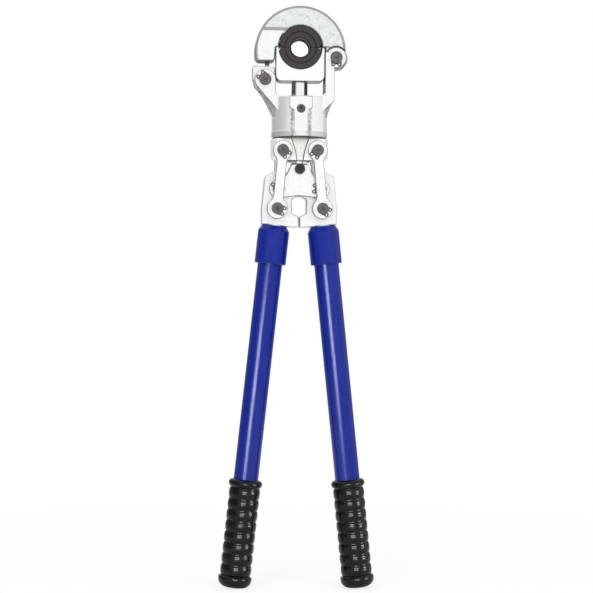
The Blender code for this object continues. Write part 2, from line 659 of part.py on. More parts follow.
def jaw_outline():
    """Front outline of the C-shaped jaw with its hinge lug and its latch leg."""
    centre_z = DIE_Z - JAW_CENTRE_DROP
    hinge = (JAW_HINGE_X, HINGE_Z)
    lug_x = JAW_HINGE_X - JAW_LUG_RADIUS
    points = [(SEAT_RADIUS, SPLIT_UPPER), (lug_x, SPLIT_UPPER)]
    points += arc(*hinge, JAW_LUG_RADIUS, 180, JAW_LUG_END)
    leave = meeting_angle(hinge, JAW_HEEL_RADIUS, (0.0, centre_z), JAW_RADIUS)
    points += arc(*hinge, JAW_HEEL_RADIUS, JAW_HEEL_START, 360 + leave)
    start = bearing((0.0, centre_z), points[-1])
    leg_bottom = DIE_Z - JAW_LEG_DROP
    corner_z = leg_bottom + JAW_LEG_CORNER
    end = 180 + math.degrees(math.asin((centre_z - corner_z) / JAW_RADIUS))
    points += arc(0.0, centre_z, JAW_RADIUS, start, end)[1:]
    outer_x = points[-1][0]
    points += arc(outer_x + JAW_LEG_CORNER, corner_z, JAW_LEG_CORNER, 180, 270)[1:]
    points += leg_inner_face(leg_bottom)
    points += [(-SEAT_RADIUS, SPLIT_UPPER)]
    flat = math.degrees(math.asin(GAP / 2 / SEAT_RADIUS))
    points += reversed(arc(0.0, DIE_Z, SEAT_RADIUS, flat, 180 - flat)[1:-1])
    return points


def meeting_angle(centre, radius, other, other_radius):
    """Bearing from one circle's centre of the upper crossing with another circle."""
    line = Vector(other) - Vector(centre)
    distance = line.length
    along = (distance ** 2 + radius ** 2 - other_radius ** 2) / (2 * distance)
    spread = math.degrees(math.acos(along / radius))
    return math.degrees(math.atan2(line.y, line.x)) - spread


def leg_inner_face(leg_bottom):
    """Inner face of the latch leg, an arc about the hinge that clears the die holder's corner."""
    corner = Vector((-HOLDER_WIDTH / 2, SPLIT_LOWER)) - Vector((JAW_HINGE_X, HINGE_Z))
    radius = corner.length + GAP
    low = leg_bottom + JAW_LEG_INNER_CORNER
    points = []
    for i in range(5):
        z = low + (SPLIT_UPPER - low) * i / 4
        points.append((JAW_HINGE_X - math.sqrt(radius ** 2 - (z - HINGE_Z) ** 2), z))
    turn = arc(points[0][0] - JAW_LEG_INNER_CORNER, low, JAW_LEG_INNER_CORNER, 270, 360)
    return turn[:-1] + points


def latch_sector(low, high, start, end):
    """Outline of a ring sector about the latch pin, between two radii and two angles."""
    outer = [(high, angle) for angle in spread(start, end, 10)]
    inner = [(low, angle) for angle in reversed(spread(start, end, 10))]
    return [(-LATCH_PIN_X + r * math.cos(a), LATCH_Z + r * math.sin(a)) for r, a in outer + inner]


def spread(start, end, steps):
    """Evenly spaced angles in radians, both ends included."""
    return [math.radians(start + (end - start) * i / steps) for i in range(steps + 1)]


def latch_edge_angle(offset, radius):
    """Bearing from the latch pin of a point that lies inwards by offset at a radius."""
    return math.degrees(math.acos(offset / radius))


def jaw(pivot):
    """C-shaped jaw: machined below, rough cast above, with a hinge lug and a slotted latch leg."""
    half = JAW_THICKNESS / 2
    body = Part("jaw_frame", slab(jaw_outline(), -half, half, PLATE_EDGE_CHAMFER), pivot,
                "forged_steel")
    centre_z = DIE_Z - JAW_CENTRE_DROP
    cast = JAW_CAST_THICKNESS / 2
    rise = math.degrees(math.asin((JAW_CAST_RISE + JAW_CENTRE_DROP) / JAW_RADIUS))
    seat = math.degrees(math.asin(JAW_CAST_RISE / SEAT_RADIUS))
    crown = arc(0.0, centre_z, JAW_RADIUS - 0.01, rise, 180 - rise)
    crown += reversed(arc(0.0, DIE_Z, SEAT_RADIUS + 0.01, seat, 180 - seat))
    body.join(slab(crown, -cast, cast, 1.2))
    lug = JAW_LUG_THICKNESS / 2
    for side in (-1, 1):
        body.cut(slab(circle(JAW_HINGE_X, HINGE_Z, JAW_POCKET_RADIUS), side * lug,
                      side * (cast + 1)))
    body.cut(cross_hole(JAW_HINGE_X, HINGE_Z, EAR_PIN_DIAMETER / 2 + PIN_FIT, lug, 0.4))
    head = latch_edge_angle(LATCH_NECK_OFFSET + LATCH_HEAD_WIDTH / 2 + LOCK_FIT, LATCH_HEAD_LOW)
    neck = latch_edge_angle(LATCH_NECK_OFFSET + LATCH_NECK_WIDTH / 2 + LOCK_FIT,
                            LATCH_PIN_DROP - JAW_LEG_DROP)
    depth = LATCH_HEAD_DEPTH / 2 + LOCK_FIT
    body.cut(slab(latch_sector(LATCH_HEAD_LOW - LOCK_FIT, LATCH_HEAD_HIGH + 1.0, head, 150),
                  -depth, depth))
    depth = LATCH_NECK_DEPTH / 2 + LOCK_FIT
    body.cut(slab(latch_sector(LATCH_BODY_RISE, LATCH_HEAD_LOW + 1.0, neck, 150),
                  -depth, depth))
    body.cut(rod(DOWEL_DIAMETER / 2 + PIN_FIT, 0.0, DOWEL_LENGTH / 2 + GAP, "Z",
                 (0.0, 0.0, DIE_Z + DIE_DIAMETER / 2)))
    die("upper_die", pivot, 1)


def half_ring(turn):
    """Outline of half a die: outer arc, bore and chamfered corners, turned up (1) or down (-1)."""
    outer = DIE_DIAMETER / 2
    bore = DIE_BORE / 2
    start = math.degrees(math.asin((DIE_CORNER + GAP / 2) / outer))
    flat = math.degrees(math.asin(GAP / 2 / bore))
    corner = outer * math.cos(math.radians(start)) - DIE_CORNER
    points = arc(0.0, 0.0, outer, start, 180 - start)
    points += [(-corner, GAP / 2)]
    points += reversed(arc(0.0, 0.0, bore, flat, 180 - flat))
    points += [(corner, GAP / 2)]
    return [(x, DIE_Z + turn * z) for x, z in points]


def die(name, pivot, turn):
    """Half die with a stepped face, a relieved bore and a dowel into its seat."""
    half = DIE_WIDTH / 2
    body = Part(name, slab(half_ring(turn), -half, half, 0.5), pivot, "black_oxide")
    step = half - DIE_STEP_DEPTH
    clear = DIE_BORE / 2 - 1.5
    relief = DIE_RELIEF_DIAMETER / 2
    run = DIE_RELIEF_WIDTH / 2
    profile = [(0.0, half + 1), (DIE_STEP_DIAMETER / 2, half + 1), (DIE_STEP_DIAMETER / 2, step),
               (clear + 2.0, step), (clear, step - 2.0), (clear, run + 2.0), (relief, run)]
    tool = turned(profile + [(r, -y) for r, y in reversed(profile)], "Y", (0.0, 0.0, DIE_Z))
    body.cut(tool)
    seat = DIE_Z + turn * DIE_DIAMETER / 2
    reach = DOWEL_LENGTH / 2 + GAP
    body.cut(rod(DOWEL_DIAMETER / 2 + PIN_FIT, -reach, reach, "Z", (0.0, 0.0, seat)))
    half_length = DOWEL_LENGTH / 2
    Part(name.replace("die", "die_dowel"),
         rod(DOWEL_DIAMETER / 2, -half_length, half_length, "Z", (0.0, 0.0, seat)), pivot,
         "milled_steel")


def holder(pivot):
    """Die holder: a block that slides in the fork, with a seat for the lower die on top."""
    half = HOLDER_WIDTH / 2
    seat = DIE_DIAMETER / 2 + GAP
    flat = math.degrees(math.asin(GAP / 2 / seat))
    outline = rounded([(half, HOLDER_BOTTOM, HOLDER_CORNER), (half, SPLIT_LOWER, HOLDER_TOP_CORNER),
                       (0.0, SPLIT_LOWER), (-half, SPLIT_LOWER, 0.5),
                       (-half, HOLDER_BOTTOM, HOLDER_CORNER)])
    middle = outline.index((0.0, SPLIT_LOWER))
    outline[middle:middle + 1] = reversed(arc(0.0, DIE_Z, seat, 180 + flat, 360 - flat))
    depth = JAW_THICKNESS / 2
    body = Part("die_holder", slab(outline, -depth, depth, PLATE_EDGE_CHAMFER), pivot,
                "milled_steel")
    top = RAM_TOP + RAM_SPIGOT_HEIGHT
    body.cut(rod(RAM_SPIGOT_DIAMETER / 2 + PIN_FIT, HOLDER_BOTTOM - 1, top + GAP, "Z"))
    pin_x, pin_z = holder_pin_place()
    radius = HOLDER_PIN_DIAMETER / 2
    body.cut(rod(radius + PIN_FIT, -depth - 1, HOLDER_PIN_REACH, "Y", (pin_x, 0.0, pin_z)))
    body.cut(rod(DOWEL_DIAMETER / 2 + PIN_FIT, -DOWEL_LENGTH / 2 - GAP, 0.0, "Z",
                 (0.0, 0.0, DIE_Z - DIE_DIAMETER / 2)))
    Part("die_holder_pin", rod(radius, 0.5 - depth, HOLDER_PIN_REACH - GAP, "Y",
                               (pin_x, 0.0, pin_z)), pivot, "milled_steel")
    die("lower_die", pivot, -1)


def holder_pin_place():
    """X and Z of the pin that keeps the die holder on the ram, tangent to the ram's neck."""
    x = RAM_NECK_DIAMETER / 2 + HOLDER_PIN_DIAMETER / 2 + GAP
    return x, RAM_TOP + RAM_NECK_RISE + RAM_NECK_HEIGHT / 2


def latch(pivot):
    """Swing latch: a block on its pin, with a neck and a cross head that locks the jaw's leg."""
    outer = -LATCH_OUTER_X
    inner = -LATCH_INNER_X
    top = LATCH_Z + LATCH_BODY_RISE
    low = LATCH_Z - LATCH_BODY_DROP
    outline = rounded([(outer, top + 0.5, 1.5), (outer, LATCH_Z + 2.0, 3.0),
                       (-LATCH_PIN_X - LATCH_BODY_DROP, low, 7.0),
                       (-LATCH_PIN_X + LATCH_BODY_DROP, low, 8.5), (inner, LATCH_Z, 2.0),
                       (inner, top - 1.0, 1.5)])
    half = LATCH_THICKNESS / 2
    body = Part("latch", slab(outline, -half, half, 0.6), pivot, "forged_steel")
    neck_x = -LATCH_PIN_X + LATCH_NECK_OFFSET
    half_neck = LATCH_NECK_WIDTH / 2
    neck_top = LATCH_Z + LATCH_HEAD_LOW + 1.5
    neck = [(neck_x - half_neck, top - 3.0), (neck_x + half_neck, top - 3.0),
            (neck_x + half_neck, neck_top), (neck_x - half_neck, neck_top)]
    body.join(slab(neck, -LATCH_NECK_DEPTH / 2, LATCH_NECK_DEPTH / 2))
    reach = LATCH_HEAD_WIDTH / 2
    start = latch_edge_angle(LATCH_NECK_OFFSET + reach, LATCH_HEAD_HIGH)
    end = latch_edge_angle(LATCH_NECK_OFFSET - reach, LATCH_HEAD_HIGH)
    body.join(slab(latch_sector(LATCH_HEAD_LOW, LATCH_HEAD_HIGH, start, end),
                   -LATCH_HEAD_DEPTH / 2, LATCH_HEAD_DEPTH / 2, 0.5))
    body.cut(cross_hole(-LATCH_PIN_X, LATCH_Z, EAR_PIN_DIAMETER / 2 + PIN_FIT, half, 0.4))


def plate_outline():
    """Front outline of a push plate: bell-shaped, with ears at the lever pivots."""
    top = PLATE_TOP_WIDTH / 2
    ear = arc(PIVOT_X, PIVOT_Z, PLATE_EAR_RADIUS, PLATE_EAR_TURN, -90)
    right = rounded([(0.0, PIVOT_Z + PLATE_TOP_RISE), (top, PIVOT_Z + PLATE_TOP_RISE, 3.0),
                     (PLATE_WAIST_X, PIVOT_Z + PLATE_WAIST_RISE, 5.0), ear[0]])
    right += ear[1:] + [(0.0, PIVOT_Z - PLATE_EAR_RADIUS + PLATE_ARCH)]
    return right + [(-x, z) for x, z in reversed(right) if x > 0.0]


def push_plates(push):
    """Front and rear push plates, clamped to the ram's foot by one screw and nut."""
    for name, side in (("push_plate_front", -1), ("push_plate_rear", 1)):
        plate = Part(name, slab(plate_outline(), side * PLATE_NEAR, side * PLATE_FAR,
                                PLATE_CHAMFER), push, "milled_steel")
        for x in (-PIVOT_X, PIVOT_X):
            plate.cut(rod(LINK_PIN_DIAMETER / 2 + PIN_FIT, -PLATE_FAR - 1, PLATE_FAR + 1, "Y",
                          (x, 0.0, PIVOT_Z)))
        plate.cut(rod(RAM_SCREW_DIAMETER / 2 + PIN_FIT, -PLATE_FAR - 1, PLATE_FAR + 1, "Y",
                      (0.0, 0.0, RAM_SCREW_Z)))
    shank = RAM_SCREW_DIAMETER / 2
    head = RAM_SCREW_HEAD / 2
    seat = PLATE_FAR + GAP
    crown = seat + RAM_SCREW_HEAD_HEIGHT
    tail = -PLATE_FAR - GAP - RAM_NUT_HEIGHT - 1.0
    profile = [(0.0, crown), (head - 0.5, crown), (head, crown - 0.5), (head, seat),
               (shank, seat), (shank, tail), (0.0, tail)]
    screw = Part("ram_screw", turned(profile, "Y", (0.0, 0.0, RAM_SCREW_Z)), push, "black_oxide")
    screw.cut(slab(hexagon(0.0, RAM_SCREW_Z, RAM_SCREW_SOCKET), -crown - 1,
                   -crown + RAM_SCREW_SOCKET_DEPTH))
    nut = Part("ram_nut", slab(hexagon(0.0, RAM_SCREW_Z, RAM_NUT_WIDTH), seat,
                               seat + RAM_NUT_HEIGHT, 0.4), push, "black_oxide")
    nut.cut(rod(shank + PIN_FIT, -seat - RAM_NUT_HEIGHT - 1, -seat + 1, "Y",
                (0.0, 0.0, RAM_SCREW_Z)))
    radius = LINK_PIN_DIAMETER / 2
    for side, word in SIDES.items():
        place = (side * PIVOT_X, PIVOT_Z)
        Part(f"lever_pivot_pin_{word}", pin_body(*place, radius, PLATE_FAR), push,
             "dark_pin_steel")
        clips(push, f"lever_pivot_{word}", *place, radius, PLATE_FAR, PIVOT_CLIP[side])


def ram(push):
    """Polished ram with a foot between the push plates and a necked spigot for the die holder."""
    radius = RAM_DIAMETER / 2
    foot = PLATE_NEAR - GAP
    spigot = RAM_SPIGOT_DIAMETER / 2
    neck = RAM_NECK_DIAMETER / 2
    top = RAM_TOP + RAM_SPIGOT_HEIGHT
    low = RAM_TOP + RAM_NECK_RISE
    high = low + RAM_NECK_HEIGHT
    foot_top = RAM_BOTTOM + RAM_FOOT_HEIGHT
    profile = [(0.0, top), (spigot - 0.8, top), (spigot, top - 0.8), (spigot, high), (neck, high),
               (neck, low), (spigot, low), (spigot, RAM_TOP), (radius - 0.8, RAM_TOP),
               (radius, RAM_TOP - 0.8), (radius, foot_top), (foot, foot_top - 0.8),
               (foot, RAM_BOTTOM + 0.8), (foot - 0.8, RAM_BOTTOM), (0.0, RAM_BOTTOM)]
    body = Part("ram", turned(profile), push, "polished_steel")
    body.cut(rod(RAM_SCREW_DIAMETER / 2 + PIN_FIT, -foot - 1, foot + 1, "Y",
                 (0.0, 0.0, RAM_SCREW_Z)))


def lever_outline():
    """Front outline of the right lever: rounded top at its pivot, window, nose and foot."""
    pivot = (PIVOT_X, PIVOT_Z)
    sine = math.sin(LEAN)
    cosine = math.cos(LEAN)
    foot_x = LEVER_PIN_X + LEVER_FOOT * sine
    foot_z = LEVER_PIN_Z - LEVER_FOOT * cosine
    half = FERRULE_NECK_RADIUS + LEVER_FOOT_OVERHANG
    outer_foot = (foot_x + half * cosine, foot_z + half * sine)
    inner_foot = (foot_x - half * cosine, foot_z - half * sine)
    nose_x = NOSE_GAP / 2
    nose_top = PIVOT_Z - WINDOW_BOTTOM - 3.4
    shoulder = (LEVER_SHOULDER_X, PIVOT_Z + LEVER_SHOULDER_RISE)
    points = list(rounded([outer_foot, (LEVER_FLANK_X, LEVER_PIN_Z), (*shoulder, 5.0),
                           arc(*pivot, LEVER_TOP_RADIUS, 76, 90)[0]])[:-1])
    points += arc(*pivot, LEVER_TOP_RADIUS, 74, 135)
    points += arc(*pivot, LEVER_INNER_RADIUS, 144, 199)
    points += rounded([points[-1], (WINDOW_X, PIVOT_Z - WINDOW_TOP, 1.5),
                       (WINDOW_X, PIVOT_Z - WINDOW_BOTTOM, 1.5), (nose_x, nose_top, 1.5),
                       (nose_x, nose_top - NOSE_HEIGHT, 2.0), inner_foot])[1:]
    return points


def lever(pivot, side):
    """Forged lever with link bosses and a shank that runs down inside the tube."""
    word = SIDES[side]
    body = Part(f"lever_{word}", slab(mirrored(lever_outline(), side), -LEVER_FACE, LEVER_FACE,
                                      LEVER_EDGE), pivot, "forged_steel")
    boss = circle(side * LEVER_PIN_X, LEVER_PIN_Z, BOSS_DIAMETER / 2)
    for way in (-1, 1):
        body.join(slab(boss, way * (LEVER_FACE - 1), way * BLOCK_FACE, 0.3))
    stub = rod(SHANK_RADIUS, -LEVER_FOOT - SHANK_LENGTH, -LEVER_FOOT + 4, "Z")
    bmesh.ops.rotate(stub, verts=stub.verts, matrix=Matrix.Rotation(-side * LEAN, 3, "Y"))
    bmesh.ops.translate(stub, verts=stub.verts, vec=(side * LEVER_PIN_X, 0.0, LEVER_PIN_Z))
    body.join(stub)
    pin = LINK_PIN_DIAMETER / 2
    body.cut(rod(pin + PIN_FIT, -LEVER_FACE - 1, LEVER_FACE + 1, "Y",
                 (side * PIVOT_X, 0.0, PIVOT_Z)))
    body.cut(rod(pin + OPEN_PIVOT_FIT, -BLOCK_FACE - 1, BLOCK_FACE + 1, "Y",
                 (side * LEVER_PIN_X, 0.0, LEVER_PIN_Z)))


def grip_profile():
    """Section of a grip, from the bead at its top over the ribs to its rounded end and bore."""
    top = HANDLE_LENGTH - GRIP_LENGTH
    bore = SLEEVE_BORE
    bead = GRIP_BEAD_RADIUS
    rib = bore + GRIP_RIB_WALL
    groove = bore + GRIP_GROOVE_WALL
    first = top + GRIP_BEAD_HEIGHT
    last = HANDLE_LENGTH - GRIP_END_HEIGHT
    pitch = (last - first) / GRIP_RIB_COUNT
    roll = GRIP_BEAD_HEIGHT / 2
    profile = [(bore, top + 1.2), (bead - roll, top)]
    profile += [(bead - roll + roll * math.sin(a), top + roll - roll * math.cos(a))
                for a in spread(40, 140, 2)]
    for index in range(GRIP_RIB_COUNT):
        start = first + index * pitch
        for share in (0.0, 0.3, 0.7):
            swell = math.sin(math.pi * share)
            profile.append((groove + (rib - groove) * swell ** 0.7, start + share * pitch))
    corner = GRIP_END_RADIUS
    profile += [(groove, last), (bead - 1.2, last + 1.0)]
    profile += [(bead - corner + corner * math.cos(a), HANDLE_LENGTH - corner + corner * math.sin(a))
                for a in spread(0, 90, 3)]
    profile += [(0.0, HANDLE_LENGTH)]
    inside = [(0.0, TUBE_END + GAP), (bore, TUBE_END + GAP)]
    return profile + inside


def handle(push, side):
    """One handle: lever, painted ferrule and tube, and rubber grip, turning about its pivot."""
    word = SIDES[side]
    pivot = Pivot(f"handle_{word}_pivot", (side * PIVOT_X, 0.0, PIVOT_Z), push)
    lever(pivot, side)
    axis = Pivot(f"handle_{word}_axis", (side * LEVER_PIN_X, 0.0, LEVER_PIN_Z), pivot,
                 -side * LEAN)
    tube = TUBE_DIAMETER / 2
    bore = SLEEVE_BORE
    wide = bore + FERRULE_WALL
    low = FERRULE_TOP + FERRULE_LENGTH
    collar = [(SHANK_RADIUS + GAP, FERRULE_TOP), (FERRULE_NECK_RADIUS, FERRULE_TOP),
              (wide, FERRULE_TOP + FERRULE_TAPER), (wide, low - 0.8), (wide - 0.8, low),
              (bore, low), (bore, TUBE_TOP - GAP), (SHANK_RADIUS + GAP, TUBE_TOP - GAP)]
    Part(f"ferrule_{word}", along_handle(collar), axis, "blue_paint")
    wall = tube - TUBE_WALL
    pipe = [(wall, TUBE_TOP), (tube, TUBE_TOP), (tube, TUBE_END), (wall, TUBE_END)]
    Part(f"handle_tube_{word}", along_handle(pipe), axis, "blue_paint")
    Part(f"grip_{word}", along_handle(grip_profile()), axis, "black_rubber")


def along_handle(profile):
    """Turned body on a handle's own axis, from radii and distances below the lower link pin."""
    return turned([(radius, -distance) for radius, distance in profile], ring=True)


def link_outline(x_top, z_top, x_low, z_low):
    """Dog-bone outline of a link between its two eyes."""
    axis = Vector((x_top - x_low, z_top - z_low))
    length = axis.length
    half = LINK_WIDTH / 2
    points = []
    for radius, sign in ((LINK_LOWER_EYE / 2, 1), (LINK_UPPER_EYE / 2, -1)):
        offset = half + LINK_FILLET
        rise = math.sqrt((radius + LINK_FILLET) ** 2 - offset ** 2)
        away = math.degrees(math.atan2(rise, offset))
        eye = arc(0.0, 0.0, radius, 180 - away, 360 + away)
        near = arc(offset, rise, LINK_FILLET, 180 + away, 180)[1:]
        far = arc(-offset, rise, LINK_FILLET, 0, -away)[:-1]
        loop = far + eye + near
        points += [(sign * x, z if sign > 0 else length - z) for x, z in loop]
    along = axis.normalized()
    across = Vector((along.y, -along.x))
    return [(x_low + across.x * x + along.x * z, z_low + across.y * x + along.y * z)
            for x, z in points]


def links(root, side):
    """Front and rear link of one side with their two pins, turning about the upper pin."""
    word = SIDES[side]
    upper = (side * BLOCK_PIN_X, BLOCK_PIN_Z)
    lower = (side * LEVER_PIN_X, LEVER_PIN_Z)
    pivot = Pivot(f"links_{word}_pivot", (upper[0], 0.0, upper[1]), root)
    radius = LINK_PIN_DIAMETER / 2
    for name, way in (("front", -1), ("rear", 1)):
        link = Part(f"link_{name}_{word}", slab(link_outline(*upper, *lower), way * LINK_NEAR,
                                                way * LINK_FAR, 0.8), pivot, "milled_steel")
        for x, z in (upper, lower):
            link.cut(rod(radius + PIN_FIT, -LINK_FAR - 1, LINK_FAR + 1, "Y", (x, 0.0, z)))
    Part(f"upper_link_pin_{word}", pin_body(*upper, radius, LINK_FAR), pivot, "dark_pin_steel")
    Part(f"lower_link_pin_{word}", pin_body(*lower, radius, LINK_FAR), pivot, "dark_pin_steel")
    clips(pivot, f"upper_link_{word}", *upper, radius, LINK_FAR, UPPER_CLIP[side])
    clips(pivot, f"lower_link_{word}", *lower, radius, LINK_FAR, LOWER_CLIP[side])


def main():
    """Build the tool with its handles closed."""
    for item in list(bpy.data.objects):
        bpy.data.objects.remove(item, do_unlink=True)
    root = Pivot("tool")
    linkage_block(root)
    head = Pivot("swivel", (0.0, 0.0, BARREL_BOTTOM), root)
    swivel(head)
    fork(head)
    jaw(Pivot("jaw_hinge", (JAW_HINGE_X, 0.0, HINGE_Z), head))
    latch(Pivot("latch_hinge", (-LATCH_PIN_X, 0.0, LATCH_Z), head))
    holder(Pivot("die_slide", (0.0, 0.0, DIE_Z), head))
    push = Pivot("ram_slide", (0.0, 0.0, PIVOT_Z), root)
    ram(push)
    push_plates(push)
    for side in SIDES:
        links(root, side)
        handle(push, side)


main()
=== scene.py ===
"""Visual model of a long-handled manual press tool for pipe fittings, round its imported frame.

Sizes are in millimetres and turn into metres where a mesh is made. X is across the handles, -Y is
the front and +Z is up. Pieces that the frame has as many-sided solids are modelled again here
with round forms, broken edges and small details, at the places that the frame gives.
"""

import json
import logging
import math
from collections.abc import Callable, Sequence
from dataclasses import dataclass
from enum import Enum

import bpy
from mathutils import Matrix, Vector

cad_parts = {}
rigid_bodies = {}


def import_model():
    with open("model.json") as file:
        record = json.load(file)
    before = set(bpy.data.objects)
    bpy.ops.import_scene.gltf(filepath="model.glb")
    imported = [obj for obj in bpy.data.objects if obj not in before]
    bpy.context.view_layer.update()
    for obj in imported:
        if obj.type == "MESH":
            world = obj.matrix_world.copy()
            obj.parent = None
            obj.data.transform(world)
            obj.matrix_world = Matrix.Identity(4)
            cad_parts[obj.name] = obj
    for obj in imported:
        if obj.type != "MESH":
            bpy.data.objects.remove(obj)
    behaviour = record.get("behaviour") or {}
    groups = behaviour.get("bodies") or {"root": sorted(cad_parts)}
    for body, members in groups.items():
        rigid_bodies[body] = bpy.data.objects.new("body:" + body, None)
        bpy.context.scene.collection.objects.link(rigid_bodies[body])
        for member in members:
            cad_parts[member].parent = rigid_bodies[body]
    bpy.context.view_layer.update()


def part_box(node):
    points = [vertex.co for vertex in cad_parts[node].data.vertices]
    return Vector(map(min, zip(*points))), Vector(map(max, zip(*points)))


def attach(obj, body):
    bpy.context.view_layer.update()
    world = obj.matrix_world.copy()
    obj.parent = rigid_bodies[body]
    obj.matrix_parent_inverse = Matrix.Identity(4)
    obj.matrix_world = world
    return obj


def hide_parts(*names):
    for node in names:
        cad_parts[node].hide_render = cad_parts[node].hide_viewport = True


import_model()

LOG = logging.getLogger("press_tool")

MM = 0.001
GAP = 0.3                 # between faces that touch
PIN_FIT = 0.3             # radial, a pin in its hole
FINE_STEP = 4.0           # degrees along an arc
COARSE_STEP = 12.0        # degrees along an arc of small radius
SMALL_RADIUS = 4.0
THROUGH = 40.0            # half length of a cutter that goes right through
HEAD_PIN = 6.1            # radius of the pins of jaw and latch
LINK_PIN = 5.8            # radius of the pins of links and levers
HEAD_FACE = 16.5          # depth of the fork's milled flats
LINK_FACE = 23.3          # depth of the links' outer faces
PLATE_FACE = 14.8         # depth of the push plates' outer faces
BLOCK_FACE = 17.2         # depth of the block's flats and the levers' bosses
SPIGOT = 17.5             # radius of the block's spigot in the fork
SPIGOT_HEIGHT = 36.0
WASHER = 1.5              # from the block's top to the barrel's lower face
RAM_BORE = 8.5            # radius of the ram's hole in fork and block
RAM_SCREW = 3.0           # radius of the shank of the ram's screw
HEEL = 11.8               # radius of the jaw's heel about its hinge
LEG_DROP = 13.8           # from the dies' split to the end of the jaw's leg
WHITE = (1.0, 1.0, 1.0)

Point = tuple[float, float]
Outline = list[Point]
Colour = tuple[float, float, float]


class Side(Enum):
    """Left or right half of the tool, as the direction of its X."""

    LEFT = -1
    RIGHT = 1

    @property
    def word(self) -> str:
        """Name used in the frame's nodes."""
        return self.name.lower()


class Way(Enum):
    """Front or rear half of the tool, as the direction of its Y."""

    FRONT = -1
    REAR = 1

    @property
    def word(self) -> str:
        """Name used in the frame's nodes."""
        return self.name.lower()


class Cut(Enum):
    """Boolean operations."""

    JOIN = "UNION"
    TAKE = "DIFFERENCE"
    KEEP = "INTERSECT"


# Places taken from the frame


@dataclass(frozen=True)
class Spot:
    """Place in the tool's middle plane."""

    x: float
    z: float

    @property
    def pair(self) -> Point:
        """The two values as a tuple."""
        return (self.x, self.z)

    @property
    def place(self) -> tuple[float, float, float]:
        """The point in space."""
        return (self.x, 0.0, self.z)


def corners(node: str) -> tuple[Vector, Vector]:
    """Lowest and highest corner of a frame node.

    Args:
        node: name of the node.

    Returns:
        The two corners in millimetres.
    """
    low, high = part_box(node)
    return Vector(low) / MM, Vector(high) / MM


def spot_of(node: str) -> Spot:
    """Middle of a frame node, seen from the front."""
    low, high = corners(node)
    return Spot((low.x + high.x) / 2, (low.z + high.z) / 2)


# Outlines


def arc(x: float, z: float, radius: float, start: float, end: float) -> Outline:
    """Points of an arc.

    Args:
        x: centre.
        z: centre.
        radius: radius of the arc.
        start: first angle in degrees, from +X towards +Z.
        end: last angle in degrees.

    Returns:
        The points, both ends included.
    """
    step = FINE_STEP if radius > SMALL_RADIUS else COARSE_STEP
    count = max(2, math.ceil(abs(end - start) / step))
    turns = [math.radians(start + (end - start) * i / count) for i in range(count + 1)]
    return [(x + radius * math.cos(t), z + radius * math.sin(t)) for t in turns]


def circle(x: float, z: float, radius: float) -> Outline:
    """Closed circle about a centre."""
    return arc(x, z, radius, 0.0, 360.0)[:-1]


def bearing(centre: Sequence[float], point: Sequence[float]) -> float:
    """Angle in degrees of a point seen from a centre."""
    return math.degrees(math.atan2(point[1] - centre[1], point[0] - centre[0]))


def rounded(points: Sequence[Sequence[float]]) -> Outline:
    """Closed outline with rounded corners.

    Args:
        points: corners as (x, z) or (x, z, radius).

    Returns:
        The outline, with a tangent arc at each corner that has a radius.
    """
    outline: Outline = []
    for index, corner in enumerate(points):
        here = Vector(corner[:2])
        radius = corner[2] if len(corner) > 2 else 0.0
        if not radius:
            outline.append((corner[0], corner[1]))
            continue
        back = (Vector(points[index - 1][:2]) - here).normalized()
        ahead = (Vector(points[(index + 1) % len(points)][:2]) - here).normalized()
        half = back.angle(ahead) / 2
        centre = here + (back + ahead).normalized() * radius / math.sin(half)
        start = bearing(centre, here + back * radius / math.tan(half))
        end = bearing(centre, here + ahead * radius / math.tan(half))
        outline += arc(centre.x, centre.y, radius, start, start + (end - start + 180) % 360 - 180)
    return outline


def mirrored(outline: Outline, side: Side) -> Outline:
    """Outline for a side, from one that is drawn on the right."""
    return [(side.value * x, z) for x, z in outline]


def hexagon(x: float, z: float, width: float, turn: float = 0.0) -> Outline:
    """Hexagon with a width across its flats.

    Args:
        x: centre.
        z: centre.
        width: its width across the flats.
        turn: angle in degrees by which it is turned.

    Returns:
        The six corners.
    """
    radius = width / math.sqrt(3)
    turns = [math.radians(60 * i + turn) for i in range(6)]
    return [(x + radius * math.cos(t), z + radius * math.sin(t)) for t in turns]


def spread(start: float, end: float, steps: int) -> list[float]:
    """Evenly spaced angles in radians between two angles in degrees, both included."""
    return [math.radians(start + (end - start) * i / steps) for i in range(steps + 1)]


def crossing(centre: Point, radius: float, other: Point, other_radius: float) -> float:
    """Bearing from one circle's centre of its upper crossing with another circle.

    Args:
        centre: first circle's centre.
        radius: its radius.
        other: other circle's centre.
        other_radius: its radius.

    Returns:
        The bearing in degrees.
    """
    line = Vector(other) - Vector(centre)
    along = (line.length ** 2 + radius ** 2 - other_radius ** 2) / (2 * line.length)
    return math.degrees(math.atan2(line.y, line.x)) - math.degrees(math.acos(along / radius))


# Shader maths


